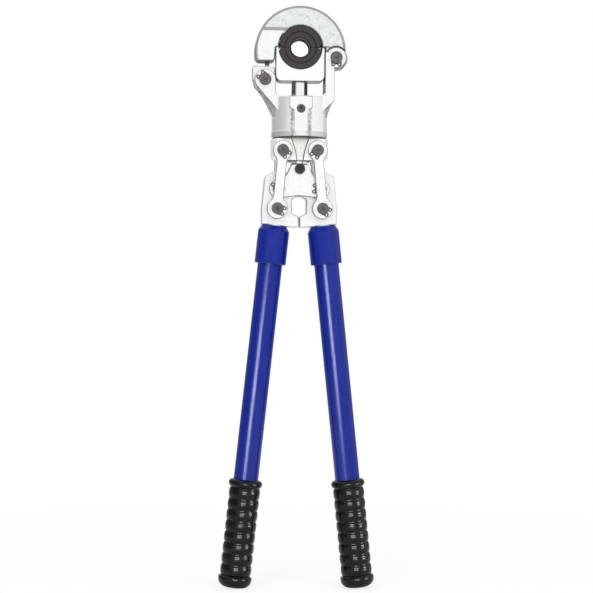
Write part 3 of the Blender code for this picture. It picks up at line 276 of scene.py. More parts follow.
class Wire:
    """Output socket on which Python's operators add Math nodes."""

    def __init__(self, web: "Web", socket: bpy.types.NodeSocket) -> None:
        """Wrap an output socket of a web."""
        self.web = web
        self.socket = socket

    def math(self, operation: str, *others: "Wire | float", clamp: bool = False) -> "Wire":
        """Result of a Math node.

        Args:
            operation: the node's operation.
            others: its further inputs.
            clamp: keep the result between 0 and 1.

        Returns:
            The result's wire.
        """
        settings = {"operation": operation, "use_clamp": clamp}
        return self.web.node("ShaderNodeMath", settings, dict(enumerate((self, *others))))

    def __add__(self, other: "Wire | float") -> "Wire":
        """Sum."""
        return self.math("ADD", other)

    __radd__ = __add__

    def __mul__(self, other: "Wire | float") -> "Wire":
        """Product."""
        return self.math("MULTIPLY", other)

    __rmul__ = __mul__

    def __sub__(self, other: "Wire | float") -> "Wire":
        """Difference."""
        return self.math("SUBTRACT", other)

    def __rsub__(self, other: float) -> "Wire":
        """A number less this wire."""
        settings = {"operation": "SUBTRACT"}
        return self.web.node("ShaderNodeMath", settings, {0: other, 1: self})

    def __pow__(self, other: float) -> "Wire":
        """Power."""
        return self.math("POWER", other)

    def __abs__(self) -> "Wire":
        """Size without sign."""
        return self.math("ABSOLUTE")

    def between(self, low: float, high: float) -> "Wire":
        """Smooth step from 0 at low to 1 at high.

        Args:
            low: value that gives 0.
            high: value that gives 1.

        Returns:
            The step's wire.
        """
        settings = {"interpolation_type": "SMOOTHSTEP"}
        return self.web.node("ShaderNodeMapRange", settings,
                             {"Value": self, "From Min": low, "From Max": high})


class Web:
    """Node tree of a material or of the world."""

    def __init__(self, owner: bpy.types.Material | bpy.types.World) -> None:
        """Take up an owner's node tree.

        Args:
            owner: material or world that the tree belongs to.
        """
        owner.use_nodes = True
        self.tree = owner.node_tree
        nodes = self.tree.nodes
        self.shader = nodes.get("Principled BSDF") or nodes.get("Background")

    def plug(self, value: "Wire | float | Colour", socket: bpy.types.NodeSocket) -> None:
        """Link a wire to a socket, or set a constant on it.

        Args:
            value: wire, number or colour.
            socket: input that takes it.
        """
        if isinstance(value, Wire):
            self.tree.links.new(value.socket, socket)
        elif isinstance(value, tuple) and len(value) == 3 and len(socket.default_value) == 4:
            socket.default_value = (*value, 1.0)
        else:
            socket.default_value = value

    def node(self, kind: str, settings: dict[str, object] | None = None,
             inputs: dict[int | str, object] | None = None, output: int | str = 0) -> Wire:
        """Add a node.

        Args:
            kind: its type.
            settings: its own settings, set before its sockets.
            inputs: values or wires by the sockets' names or numbers.
            output: name or number of the output that is used.

        Returns:
            The output's wire.
        """
        node = self.tree.nodes.new(kind)
        for name, value in (settings or {}).items():
            setattr(node, name, value)
        for name, value in (inputs or {}).items():
            self.plug(value, node.inputs[name])
        return Wire(self, node.outputs[output])

    def place(self, scale: Sequence[float] = (1.0, 1.0, 1.0)) -> Wire:
        """Object coordinates in millimetres, stretched by a scale.

        Args:
            scale: factor along each axis.

        Returns:
            The coordinates' wire.
        """
        here = self.node("ShaderNodeTexCoord", output="Object")
        factors = tuple(value / MM for value in scale)
        return self.node("ShaderNodeVectorMath", {"operation": "MULTIPLY"}, {0: here, 1: factors})

    def axis(self, vector: Wire, name: str) -> Wire:
        """One component of a vector."""
        return self.node("ShaderNodeSeparateXYZ", inputs={0: vector}, output=name)

    def noise(self, vector: Wire, size: float, detail: float = 3.0, rough: float = 0.5) -> Wire:
        """Noise from 0 to 1 with features of a size in millimetres."""
        return self.node("ShaderNodeTexNoise", inputs={
            "Vector": vector, "Scale": 1.0 / size, "Detail": detail, "Roughness": rough})

    def mix(self, factor: Wire | float, first: Wire | Colour, second: Wire | Colour) -> Wire:
        """Colour between two colours.

        Args:
            factor: share of the second colour.
            first: colour at 0.
            second: colour at 1.

        Returns:
            The colour's wire.
        """
        node = self.tree.nodes.new("ShaderNodeMix")
        node.data_type = "RGBA"
        self.plug(factor, node.inputs["Factor"])
        self.plug(first, node.inputs[6])
        self.plug(second, node.inputs[7])
        return Wire(self, node.outputs[2])

    def bump(self, height: Wire, distance: float) -> None:
        """Relief on the shader from a height between 0 and 1 and a depth in millimetres."""
        relief = self.node("ShaderNodeBump", inputs={"Distance": distance * MM, "Height": height})
        self.plug(relief, self.shader.inputs["Normal"])

    def set(self, **values: "Wire | float | Colour") -> None:
        """Set or link the shader's sockets, with _ for the spaces in their names."""
        for name, value in values.items():
            self.plug(value, self.shader.inputs[name.replace("_", " ")])

    def cover(self, factor: Wire | float, other: Wire) -> None:
        """Mix another shader over the tree's own one, on the way to its output.

        Args:
            factor: share of the other shader.
            other: the other shader.
        """
        own = self.shader.outputs[0]
        output = own.links[0].to_socket
        mix = self.tree.nodes.new("ShaderNodeMixShader")
        self.plug(factor, mix.inputs[0])
        self.tree.links.new(own, mix.inputs[1])
        self.tree.links.new(other.socket, mix.inputs[2])
        self.tree.links.new(mix.outputs[0], output)


# Finishes


@dataclass(frozen=True)
class Finish:
    """Look of a surface, and the frame's material slot that it stands for."""

    name: str
    slot: str

    def weave(self, web: Web) -> None:
        """Set the material's shader.

        Args:
            web: the material's node tree.
        """
        raise NotImplementedError

    def material(self) -> bpy.types.Material:
        """New material with this finish.

        Returns:
            The material.
        """
        material = bpy.data.materials.new(self.name)
        self.weave(Web(material))
        return material


@dataclass(frozen=True)
class Plating(Finish):
    """Bright zinc plating: smooth on the machined faces across Y, rougher and painted darker as
    shade on the forged skin.
    """

    face: Colour = (0.90, 0.91, 0.90)
    shade: Colour = (0.80, 0.82, 0.81)
    # skin: painted shade, the colour of faces that are not across Y
    skin: Colour = (0.46, 0.48, 0.48)
    cast: Colour = (0.76, 0.79, 0.78)
    speck: Colour = (0.50, 0.53, 0.53)
    cast_depth: float = 1000.0   # faces further than this from the middle plane stay as cast
    # painted shade: the first colour in hollows, the second, deeper one on their walls and on the
    # neck
    hollow: Colour = (0.30, 0.31, 0.31)
    hollow_wall: Colour = (0.09, 0.09, 0.085)
    hollow_depth: float = -10.0  # faces nearer than this to the middle plane lie in a hollow, painted in shade
    wall_reach: float = -10.0    # walls of hollows, painted in deep shade, lie nearer than this to the tool's axis
    neck_height: float = 5000.0  # above this, the piece is a neck painted in deep shade
    flatness: float = 0.992      # a normal's share of Y from which a face counts as machined
    border_height: float = 0.0   # centre of a round outline whose border band is painted shade
    border_radius: float = 5000.0
    border: float = 1.9
    roughness: float = 0.30
    skin_roughness: float = 0.42
    cloud: float = 12.0          # size of the soft clouds
    grain: float = 0.6           # size of the surface's grain
    mottle: float = 1.8          # size of the cast skin's specks
    face_relief: float = 0.004
    skin_relief: float = 0.06
    metallic: float = 0.9

    def weave(self, web: Web) -> None:
        """Set the material's shader.

        Args:
            web: the material's node tree.
        """
        here = web.place()
        normal = web.node("ShaderNodeTexCoord", output="Normal")
        # faces across Y keep the face colour; all other faces get the skin colour, which is
        # painted shade
        milled = abs(web.axis(normal, "Y")).between(self.flatness - 0.027, self.flatness)
        # a band inside the round outline's border leaves the face colour and gets painted shade
        rise = web.axis(here, "Z") - self.border_height
        across = web.axis(here, "X")
        inner = self.border_radius - self.border
        rim = ((across * across + rise * rise) ** 0.5).between(inner - 0.4, inner + 0.4)
        milled = milled * (1.0 - rim)
        rough_cast = abs(web.axis(here, "Y")).between(self.cast_depth - 0.1, self.cast_depth)
        smooth = milled * (1.0 - rough_cast)
        clouds = web.noise(here, self.cloud, 4.0, 0.6).between(0.4, 0.75)
        grains = web.noise(here, self.grain, 4.0, 0.65)
        specks = web.noise(here, self.mottle, 5.0, 0.72).between(0.46, 0.66)
        patches = web.noise(here, 7.0, 3.0, 0.6).between(0.35, 0.65)
        face = web.mix(clouds, self.face, self.shade)
        cast = web.mix(specks * (patches * 0.7 + 0.3), self.cast, self.speck)
        skin = web.mix(specks * 0.35, self.skin, web.mix(0.4, self.skin, self.speck))
        # painted shade in hollows, deeper on their walls and on the neck
        sunk = 1.0 - abs(web.axis(here, "Y")).between(self.hollow_depth - 0.2, self.hollow_depth)
        near = 1.0 - abs(across).between(self.wall_reach - 0.5, self.wall_reach)
        neck = web.axis(here, "Z").between(self.neck_height, self.neck_height + 0.5)
        skin = web.mix(sunk * near, skin, self.hollow_wall)
        face = web.mix(sunk, web.mix(rough_cast, face, cast), self.hollow)
        colour = web.mix(neck, web.mix(milled, skin, face), self.hollow_wall)
        web.set(Base_Color=colour, Metallic=self.metallic,
                Roughness=smooth * (self.roughness - self.skin_roughness)
                + (self.skin_roughness - 0.05) + grains.between(0.3, 0.7) * 0.1)
        height = grains * 0.6 + specks * 0.4
        flat = self.face_relief / self.skin_relief
        web.bump(height * (smooth * (flat - 1.0) + 1.0), self.skin_relief)


@dataclass(frozen=True)
class CastBarrel(Finish):
    """As-cast plated skin of the fork, with its milled flats, pad and rib."""

    face: Colour = (0.93, 0.93, 0.92)
    skin: Colour = (0.93, 0.95, 0.94)
    pit: Colour = (0.17, 0.18, 0.18)
    # painted shade: flank outside the barrel and on broken edges, edge on the pad's sides, inner
    # on the arms' inner faces
    flank: Colour = (0.45, 0.47, 0.47)
    edge: Colour = (0.30, 0.31, 0.31)
    inner: Colour = (0.12, 0.12, 0.12)
    lip: Colour = (0.70, 0.72, 0.71)
    lip_height: float = 454.4
    roughness: float = 0.28
    barrel: float = 28.5        # radius inside which the skin is the barrel's
    floor_height: float = 490.0  # of the floor between the arms; inner faces above it get painted shade
    relief: float = 0.09

    def weave(self, web: Web) -> None:
        """Set the material's shader.

        Args:
            web: the material's node tree.
        """
        here = web.place()
        normal = web.node("ShaderNodeTexCoord", output="Normal")
        x = web.axis(here, "X")
        y = web.axis(here, "Y")
        facing = abs(web.axis(normal, "Y"))
        deep = abs(y).between(12.0, 13.0)
        milled = facing.between(0.975, 0.995) * deep
        radius = (x * x + y * y) ** 0.5
        # faces outside the barrel and broken edges get painted shade, darker on the pad's sides
        outside = radius.between(self.barrel - 0.6, self.barrel + 0.6).math(
            "MAXIMUM", facing.between(0.7, 0.9) * (1.0 - deep))
        grains = web.noise(here, 0.7, 4.0, 0.65)
        pits = web.noise(here, 2.0, 5.0, 0.75).between(0.56, 0.66)
        streaks = web.noise(web.place((1.0, 1.0, 0.15)), 1.2, 3.0, 0.6).between(0.4, 0.7)
        skin = web.mix(streaks * 0.12 + pits * 0.12, self.skin, self.flank)
        scale = web.noise(here, 3.2, 6.0, 0.8).between(0.46, 0.58)
        flank = web.mix(scale * 0.55, self.flank, self.pit)
        rise = web.axis(here, "Z")
        skin = web.mix(rise.between(self.lip_height - 0.5, self.lip_height + 0.5), self.lip, skin)
        front = abs(y).between(18.0, 20.0)
        across = abs(x)
        beside = across.between(6.8, 8.0) * (1.0 - across.between(9.0, 11.5)) * front
        skin = web.mix(beside * (scale * 0.6 + 0.3), skin, self.pit)
        colour = web.mix(outside, skin, web.mix(front, flank, self.edge))
        colour = web.mix(milled, colour, self.face)
        # the arms' inner faces above the floor get painted shade
        inward = abs(web.axis(normal, "X")).between(0.9, 0.98)
        above = rise.between(self.floor_height, self.floor_height + 4.0)
        between = inward * above * (1.0 - across.between(25.0, 26.0))
        colour = web.mix(between, colour, self.inner)
        rough = (1.0 - milled) * 0.14 + (self.roughness + grains.between(0.3, 0.7) * 0.08)
        web.set(Base_Color=colour, Metallic=0.9, Roughness=rough)
        web.bump((grains * 0.4 + pits * 0.3 + scale * 0.3) * (1.0 - milled * 0.96), self.relief)


@dataclass(frozen=True)
class GroundSteel(Finish):
    """Ground and polished steel with faint turning marks round its axis."""

    colour: Colour = (0.90, 0.90, 0.90)
    roughness: float = 0.10

    def weave(self, web: Web) -> None:
        """Set the material's shader.

        Args:
            web: the material's node tree.
        """
        rings = web.noise(web.place((0.05, 0.05, 1.0)), 0.5, 3.0, 0.6)
        film = web.noise(web.place(), 6.0, 3.0, 0.5).between(0.4, 0.8)
        web.set(Base_Color=web.mix(film * 0.12, self.colour, (0.7, 0.7, 0.7)), Metallic=1.0,
                Roughness=rings.between(0.3, 0.7) * 0.05 + self.roughness)
        web.bump(rings, 0.003)


@dataclass(frozen=True)
class SpringSteel(Finish):
    """Bright spring steel whose marked lugs are painted dark, as shade round their eyes."""

    mark: str = "lug"
    face: Colour = (0.90, 0.90, 0.89)
    # painted shade on the marked lugs
    dark: Colour = (0.13, 0.127, 0.12)
    roughness: float = 0.3

    def weave(self, web: Web) -> None:
        """Set the material's shader.

        Args:
            web: the material's node tree.
        """
        here = web.place()
        marked = web.node("ShaderNodeAttribute", {"attribute_name": self.mark}, output="Fac")
        film = web.noise(here, 2.5, 4.0, 0.6).between(0.35, 0.75)
        grains = web.noise(here, 0.5, 3.0, 0.6)
        bright = web.mix(film * 0.3, self.face, (0.66, 0.66, 0.65))
        # the marked lugs get painted shade
        web.set(Base_Color=web.mix(marked.between(0.3, 0.7), bright, self.dark), Metallic=0.9,
                Roughness=grains.between(0.3, 0.7) * 0.08 + self.roughness)
        web.bump(grains, 0.006)


@dataclass(frozen=True)
class DarkSteel(Finish):
    """Dark steel of pins, screws and dies, with lighter worn spots."""

    colour: Colour = (0.128, 0.124, 0.120)
    worn: Colour = (0.27, 0.26, 0.25)
    roughness: float = 0.40
    wear: float = 0.5
    mottle: float = 3.0
    relief: float = 0.03
    metallic: float = 0.8

    def weave(self, web: Web) -> None:
        """Set the material's shader.

        Args:
            web: the material's node tree.
        """
        here = web.place()
        scuffs = web.noise(here, self.mottle, 6.0, 0.7).between(0.42, 0.75)
        grains = web.noise(here, 0.5, 3.0, 0.6)
        colour = web.mix(scuffs * self.wear, self.colour, self.worn)
        web.set(Base_Color=colour, Metallic=self.metallic,
                Roughness=grains.between(0.3, 0.7) * 0.16 + (self.roughness - 0.06))
        web.bump(grains * 0.7 + scuffs * 0.3, self.relief)


@dataclass(frozen=True)
class GlossPaint(Finish):
    """Deep blue gloss paint over steel, with faint orange peel."""

    colour: Colour = (0.001, 0.012, 0.205)
    thin: Colour = (0.006, 0.020, 0.240)
    roughness: float = 0.18
    specular: float = 0.28

    def weave(self, web: Web) -> None:
        """Set the material's shader.

        Args:
            web: the material's node tree.
        """
        flow = web.noise(web.place((1.0, 1.0, 0.2)), 7.0, 3.0, 0.5).between(0.35, 0.75)
        peel = web.noise(web.place((1.0, 1.0, 0.6)), 2.6, 2.0, 0.5)
        web.set(Base_Color=web.mix(flow * 0.6, self.colour, self.thin), Metallic=0.0,
                Roughness=peel.between(0.3, 0.7) * 0.05 + self.roughness,
                Specular_IOR_Level=self.specular)
        web.bump(peel, 0.0015)


@dataclass(frozen=True)
class MouldedRubber(Finish):
    """Glossy black rubber with a fine moulded skin."""

    colour: Colour = (0.002, 0.002, 0.003)
    dust: Colour = (0.008, 0.008, 0.009)
    roughness: float = 0.13
    specular: float = 0.24

    def weave(self, web: Web) -> None:
        """Set the material's shader.

        Args:
            web: the material's node tree.
        """
        here = web.place()
        dusty = web.noise(here, 6.0, 5.0, 0.65).between(0.45, 0.8)
        skin = web.noise(here, 0.8, 3.0, 0.6)
        web.set(Base_Color=web.mix(dusty * 0.6, self.colour, self.dust), Metallic=0.0,
                Roughness=dusty * 0.14 + skin.between(0.3, 0.7) * 0.08 + self.roughness,
                Specular_IOR_Level=self.specular)
        web.bump(skin, 0.0015)


# The skin, hollow and neck colours in these finishes are painted shade.
JAW_PLATING = Plating("jaw_plating", "forged_steel", cast_depth=12.8, skin_relief=0.10,
                      hollow_depth=8.6, flatness=0.9995, border_height=534.55,
                      border_radius=45.2, border=2.5, skin=(0.34, 0.36, 0.35),
                      cast=(0.82, 0.85, 0.84), speck=(0.56, 0.59, 0.58), mottle=2.6,
                      face=(0.92, 0.93, 0.92), shade=(0.86, 0.88, 0.87))
LEVER_PLATING = Plating("lever_plating", "forged_steel", face=(0.99, 0.99, 0.97),
                        shade=(0.92, 0.93, 0.92), skin=(0.74, 0.76, 0.76),
                        face_relief=0.012, roughness=0.34)
LATCH_PLATING = Plating("latch_plating", "forged_steel", skin=(0.36, 0.38, 0.37),
                        neck_height=520.5)
BLOCK_PLATING = Plating("block_plating", "milled_steel", face=(0.95, 0.95, 0.95),
                        shade=(0.91, 0.92, 0.92), cloud=18.0, skin=(0.97, 0.97, 0.96),
                        skin_relief=0.02, roughness=0.26, hollow=(0.84, 0.84, 0.79),
                        hollow_depth=17.0, wall_reach=11.5, metallic=0.45)
MILLED = Plating("milled_plating", "milled_steel", face=(0.98, 0.98, 0.98),
                 shade=(0.95, 0.96, 0.96), cloud=18.0, skin=(0.42, 0.43, 0.43),
                 skin_relief=0.03, roughness=0.26)
SPRING = SpringSteel("spring_plating", "spring_steel")
FORK_CASTING = CastBarrel("fork_casting", "forged_steel")
POLISHED = GroundSteel("ground_steel", "polished_steel")
PIN_STEEL = DarkSteel("pin_steel", "dark_pin_steel")
BLACKENED = DarkSteel("blackened_steel", "black_oxide", colour=(0.058, 0.055, 0.055),
                      worn=(0.075, 0.07, 0.07), mottle=1.2)
BLUE = GlossPaint("blue_gloss_paint", "blue_paint")
RUBBER = MouldedRubber("moulded_rubber", "black_rubber")

class Rack:
    """Keeps each finish's material once it is made."""

    def __init__(self) -> None:
        """Start with no material."""
        self.made: dict[Finish, bpy.types.Material] = {}

    def take(self, finish: Finish) -> bpy.types.Material:
        """Material of a finish.

        Args:
            finish: the finish.

        Returns:
            Its material, made at the first call.
        """
        if finish not in self.made:
            self.made[finish] = finish.material()
        return self.made[finish]


# Modelling


class Bench:
    """Models pieces with Blender's operators, from sizes in millimetres."""

    def __init__(self) -> None:
        """Start with an empty rack, and pick edges in edit mode."""
        self.rack = Rack()
        bpy.context.tool_settings.mesh_select_mode = (False, True, False)

    def pick(self, item: bpy.types.Object) -> None:
        """Make an object the only one selected, and active.

        Args:
            item: the object.
        """
        bpy.ops.object.select_all(action="DESELECT")
        item.select_set(True)
        bpy.context.view_layer.objects.active = item

    def loop(self, name: str, points: Sequence[Sequence[float]], fill: bool) -> bpy.types.Object:
        """Circle whose corners are moved to points.

        Args:
            name: the object's name.
            points: corners as (x, y, z).
            fill: close the loop with a face.

        Returns:
            The object.
        """
        bpy.ops.object.select_all(action="DESELECT")
        bpy.ops.mesh.primitive_circle_add(vertices=len(points), radius=MM,
                                          fill_type="NGON" if fill else "NOTHING")
        item = bpy.context.object
        item.name = name
        for vertex, point in zip(item.data.vertices, points):
            vertex.co = Vector(point) * MM
        item.data.update()
        return item

    def edit(self, item: bpy.types.Object) -> None:
        """Enter edit mode with the whole piece selected.

        Args:
            item: the piece.
        """
        self.pick(item)
        bpy.ops.object.mode_set(mode="EDIT")
        bpy.ops.mesh.select_all(action="SELECT")

    def close(self) -> None:
        """Turn all faces outwards and leave edit mode."""
        bpy.ops.mesh.select_all(action="SELECT")
        bpy.ops.mesh.normals_make_consistent(inside=False)
        bpy.ops.object.mode_set(mode="OBJECT")

    def select_edges(self, item: bpy.types.Object,
                     wanted: Callable[[Vector, Vector], bool]) -> int:
        """Select the edges that pass a test on their two ends, and enter edit mode.

        Args:
            item: the piece, in object mode.
            wanted: test that takes the two ends in millimetres.

        Returns:
            How many edges are selected.
        """
        self.edit(item)
        bpy.ops.mesh.select_all(action="DESELECT")
        bpy.ops.object.mode_set(mode="OBJECT")
        places = [vertex.co / MM for vertex in item.data.vertices]
        count = 0
        for edge in item.data.edges:
            edge.select = bool(wanted(places[edge.vertices[0]], places[edge.vertices[1]]))
            count += edge.select
        bpy.ops.object.mode_set(mode="EDIT")
        return count

    def plate(self, name: str, outline: Outline, near: float, far: float, edge: float = 0.0,
              steps: int = 2) -> bpy.types.Object:
        """Plate with an outline in X and Z between two depths.

        Args:
            name: the object's name.
            outline: corners as (x, z).
            near: Y of one face.
            far: Y of the other face.
            edge: width of the rounding along both faces' rims.
            steps: segments of that rounding.

        Returns:
            The plate.
        """
        item = self.loop(name, [(x, near, z) for x, z in outline], True)
        self.edit(item)
        move = {"value": (0.0, (far - near) * MM, 0.0)}
        bpy.ops.mesh.extrude_region_move(TRANSFORM_OT_translate=move)
        self.close()
        if edge:
            self.select_edges(item, lambda a, b: abs(a.y - b.y) < 1e-4)
            bpy.ops.mesh.bevel(offset=edge * MM, segments=steps, affect="EDGES",
                               clamp_overlap=True)
            self.close()
        return item

    def turned(self, name: str, profile: Outline, along: str = "Z",
               at: Sequence[float] = (0.0, 0.0, 0.0), steps: int = 96) -> bpy.types.Object:
        """Body of revolution from a closed profile.

        Args:
            name: the object's name.
            profile: corners as (radius, height), one loop.
            along: direction of the axis, Y (heights then grow towards the front) or Z.
            at: a place on the axis.
            steps: segments round the axis.

        Returns:
            The body.
        """
        item = self.loop(name, [(radius, 0.0, height) for radius, height in profile], False)
        if self.select_edges(item, lambda a, b: abs(a.x) < 1e-5 and abs(b.x) < 1e-5):
            bpy.ops.mesh.delete(type="EDGE")
        bpy.ops.mesh.select_all(action="SELECT")
        bpy.ops.mesh.spin(steps=steps, angle=math.tau, center=(0, 0, 0), axis=(0, 0, 1))
        bpy.ops.mesh.select_all(action="SELECT")
        bpy.ops.mesh.remove_doubles(threshold=2e-6)
        bpy.ops.mesh.dissolve_degenerate(threshold=1e-6)
        self.close()
        if along == "Y":
            item.data.transform(Matrix.Rotation(math.pi / 2, 4, "X"))
        item.data.transform(Matrix.Translation(Vector(at) * MM))
        return item

    def rod(self, radius: float, low: float, high: float, along: str = "Y",
            at: Sequence[float] = (0.0, 0.0, 0.0)) -> bpy.types.Object:
        """Plain round cutter between two heights of its axis."""
        return self.turned("cutter", [(0.0, high), (radius, high), (radius, low), (0.0, low)],
                           along, at)

    def combine(self, item: bpy.types.Object, operation: Cut, *tools: bpy.types.Object) -> None:
        """Apply a boolean operation with each tool, and remove the tools.

        Args:
            item: the piece.
            operation: what is done with each tool.
            tools: the tools.
        """
        for tool in tools:
            modifier = item.modifiers.new("combine", "BOOLEAN")
            modifier.operation = operation.value
            modifier.solver = "EXACT"
            modifier.object = tool
            self.pick(item)
            bpy.ops.object.modifier_apply(modifier=modifier.name)
            bpy.data.objects.remove(tool, do_unlink=True)

    def join(self, item: bpy.types.Object, *tools: bpy.types.Object) -> None:
        """Join tools to a piece."""
        self.combine(item, Cut.JOIN, *tools)

    def take(self, item: bpy.types.Object, *tools: bpy.types.Object) -> None:
        """Take tools out of a piece."""
        self.combine(item, Cut.TAKE, *tools)

    def mill(self, item: bpy.types.Object, outline: Outline, near: float, far: float) -> None:
        """Take an outline out of a piece between two depths."""
        self.take(item, self.plate("cutter", outline, near, far))

    def pierce(self, item: bpy.types.Object, spot: Spot, radius: float,
               reach: float = THROUGH) -> None:
        """Plain hole along Y."""
        self.take(item, self.rod(radius, -reach, reach, "Y", spot.place))

    def drill(self, item: bpy.types.Object, spot: Spot, pin: float, reach: float,
              flare: float = 0.4) -> None:
        """Hole along Y for a pin, with broken edges.

        Args:
            item: the piece.
            spot: the hole's axis.
            pin: the pin's radius.
            reach: half the depth of the piece.
            flare: width of the broken edges.
        """
        radius = pin + PIN_FIT
        wide = radius + flare + 1.0
        low = [(0.0, -reach - 1.0), (wide, -reach - 1.0), (radius, -reach + flare)]
        high = [(radius, reach - flare), (wide, reach + 1.0), (0.0, reach + 1.0)]
        self.take(item, self.turned("cutter", low + high, "Y", spot.place))

    def copy(self, item: bpy.types.Object, name: str, matrix: Matrix) -> bpy.types.Object:
        """Copy of a piece with its own mesh, moved by a matrix in millimetres.

        Args:
            item: the piece.
            name: name of the copy.
            matrix: its move, with the shift in millimetres.

        Returns:
            The copy.
        """
        other = item.copy()
        other.data = item.data.copy()
        other.name = name
        moved = matrix.copy()
        moved.translation = matrix.translation * MM
        other.data.transform(moved)
        bpy.context.scene.collection.objects.link(other)
        return other

    def done(self, item: bpy.types.Object, body: str, finish: Finish, *nodes: str,
             angle: float = 32.0) -> bpy.types.Object:
        """Shade a finished piece, give it its finish and its body.

        Args:
            item: the piece.
            body: body that it rides on.
            finish: its finish.
            nodes: frame nodes that it stands for.
            angle: edges sharper than this stay sharp, in degrees.

        Returns:
            The piece.
        """
        self.pick(item)
        bpy.ops.object.shade_smooth_by_angle(angle=math.radians(angle))
        modifier = item.modifiers.new("even_normals", "WEIGHTED_NORMAL")
        modifier.keep_sharp = True
        bpy.ops.object.modifier_apply(modifier=modifier.name)
        item.data.materials.clear()
        item.data.materials.append(self.rack.take(finish))
        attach(item, body)
        if nodes:
            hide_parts(*nodes)
        LOG.info("%s: %d faces on %s", item.name, len(item.data.polygons), body)
        return item


# Fasteners


@dataclass
class Fasteners:
    """Pins with their retaining clips."""

    bench: Bench
    clip_thickness: float = 1.2
    groove_depth: float = 0.9
    rim: float = 1.4
    lug_radius: float = 2.0
    eye: float = 0.9
    lug_angle: float = 25.0
    tail: float = 0.9
    chamfer: float = 0.6

    def pin(self, node: str, body: str, radius: float, seat: float) -> None:
        """Pin along Y with clip grooves and centre-drilled ends.

        Args:
            node: frame node that it stands for.
            body: body that it rides on.
            radius: its radius.
            seat: depth of the faces outside which its clips sit.
        """
        spot = spot_of(node)
        end = seat + GAP + self.clip_thickness + self.tail
        groove = radius - self.groove_depth
        inner = seat + GAP / 3
        outer = seat + GAP * 1.5 + self.clip_thickness
        half = [(0.0, end - 1.3), (0.5, end - 1.0), (1.5, end), (radius - self.chamfer, end),
                (radius - 0.15, end - self.chamfer + 0.15), (radius, end - self.chamfer - 0.1),
                (radius, outer), (groove, outer), (groove, inner), (radius, inner)]
        item = self.bench.turned(f"{node}_turned", half + [(r, -y) for r, y in reversed(half)],
                                 "Y", spot.place, 64)
        self.bench.done(item, body, PIN_STEEL, node)

    def clip(self, radius: float) -> bpy.types.Object:
        """Open ring on a pin at the origin that opens towards +X, with two eyed lugs.

        Args:
            radius: the pin's radius.

        Returns:
            The ring, 0 to its thickness along Y.
        """
        inner = radius - self.groove_depth + GAP
        outer = radius + self.rim
        outline = arc(0.0, 0.0, outer, 42, 318)
        for turn, first, last in ((-self.lug_angle, -80, 110), (self.lug_angle, -110, 80)):
            angle = math.radians(turn)
            outline += arc(outer * math.cos(angle), outer * math.sin(angle), self.lug_radius,
                           turn + first, turn + last)
            if turn < 0:
                outline += arc(0.0, 0.0, inner, -8, -352)
        ring = self.bench.plate("clip", outline, 0.0, self.clip_thickness, 0.2)
        for turn in (-self.lug_angle, self.lug_angle):
            angle = math.radians(turn)
            eye = (outer * math.cos(angle), 0.0, outer * math.sin(angle))
            self.bench.take(ring, self.bench.rod(self.eye, -3.0, 3.0, "Y", eye))
        # mark the lugs, which get painted shade
        mark = ring.data.attributes.new(SPRING.mark, "FLOAT", "POINT")
        root = outer * math.cos(math.radians(self.lug_angle)) - self.lug_radius * 0.8
        for vertex, value in zip(ring.data.vertices, mark.data):
            value.value = float(vertex.co.x / MM > root)
        return ring

    def clips(self, name: str, pin: str, body: str, radius: float, seat: float,
              opening: float) -> None:
        """Front and rear clip of a pin.

        Args:
            name: middle part of the clips' node names.
            pin: node of their pin.
            body: body that they ride on.
            radius: the pin's radius.
            seat: depth of the faces that they sit on.
            opening: direction in which they open, degrees from +X towards +Z.
        """
        master = self.clip(radius)
        spot = spot_of(pin)
        turn = Matrix.Rotation(-math.radians(opening), 4, "Y")
        for way in Way:
            node = f"clip_{name}_{way.word}"
            depth = seat + GAP if way is Way.REAR else -seat - GAP - self.clip_thickness
            place = Matrix.Translation((spot.x, depth, spot.z)) @ turn
            item = self.bench.copy(master, f"{node}_ring", place)
            self.bench.done(item, body, SPRING, node)
        bpy.data.objects.remove(master, do_unlink=True)

    def fit(self, stem: str, side: Side | None, body: str, radius: float, seat: float,
            opening: float) -> None:
        """Pin with its two clips.

        Args:
            stem: what the pin holds, as in its node's name.
            side: its side of the tool, where it is one of a pair.
            body: body that they ride on.
            radius: the pin's radius.
            seat: depth of the faces that the clips sit on.
            opening: direction in which the clips open, degrees from +X towards +Z.
        """
        tail = f"_{side.word}" if side else ""
        pin = f"{stem}_pin{tail}"
        self.pin(pin, body, radius, seat)
        self.clips(f"{stem}{tail}", pin, body, radius, seat, opening)


# Jaw and dies


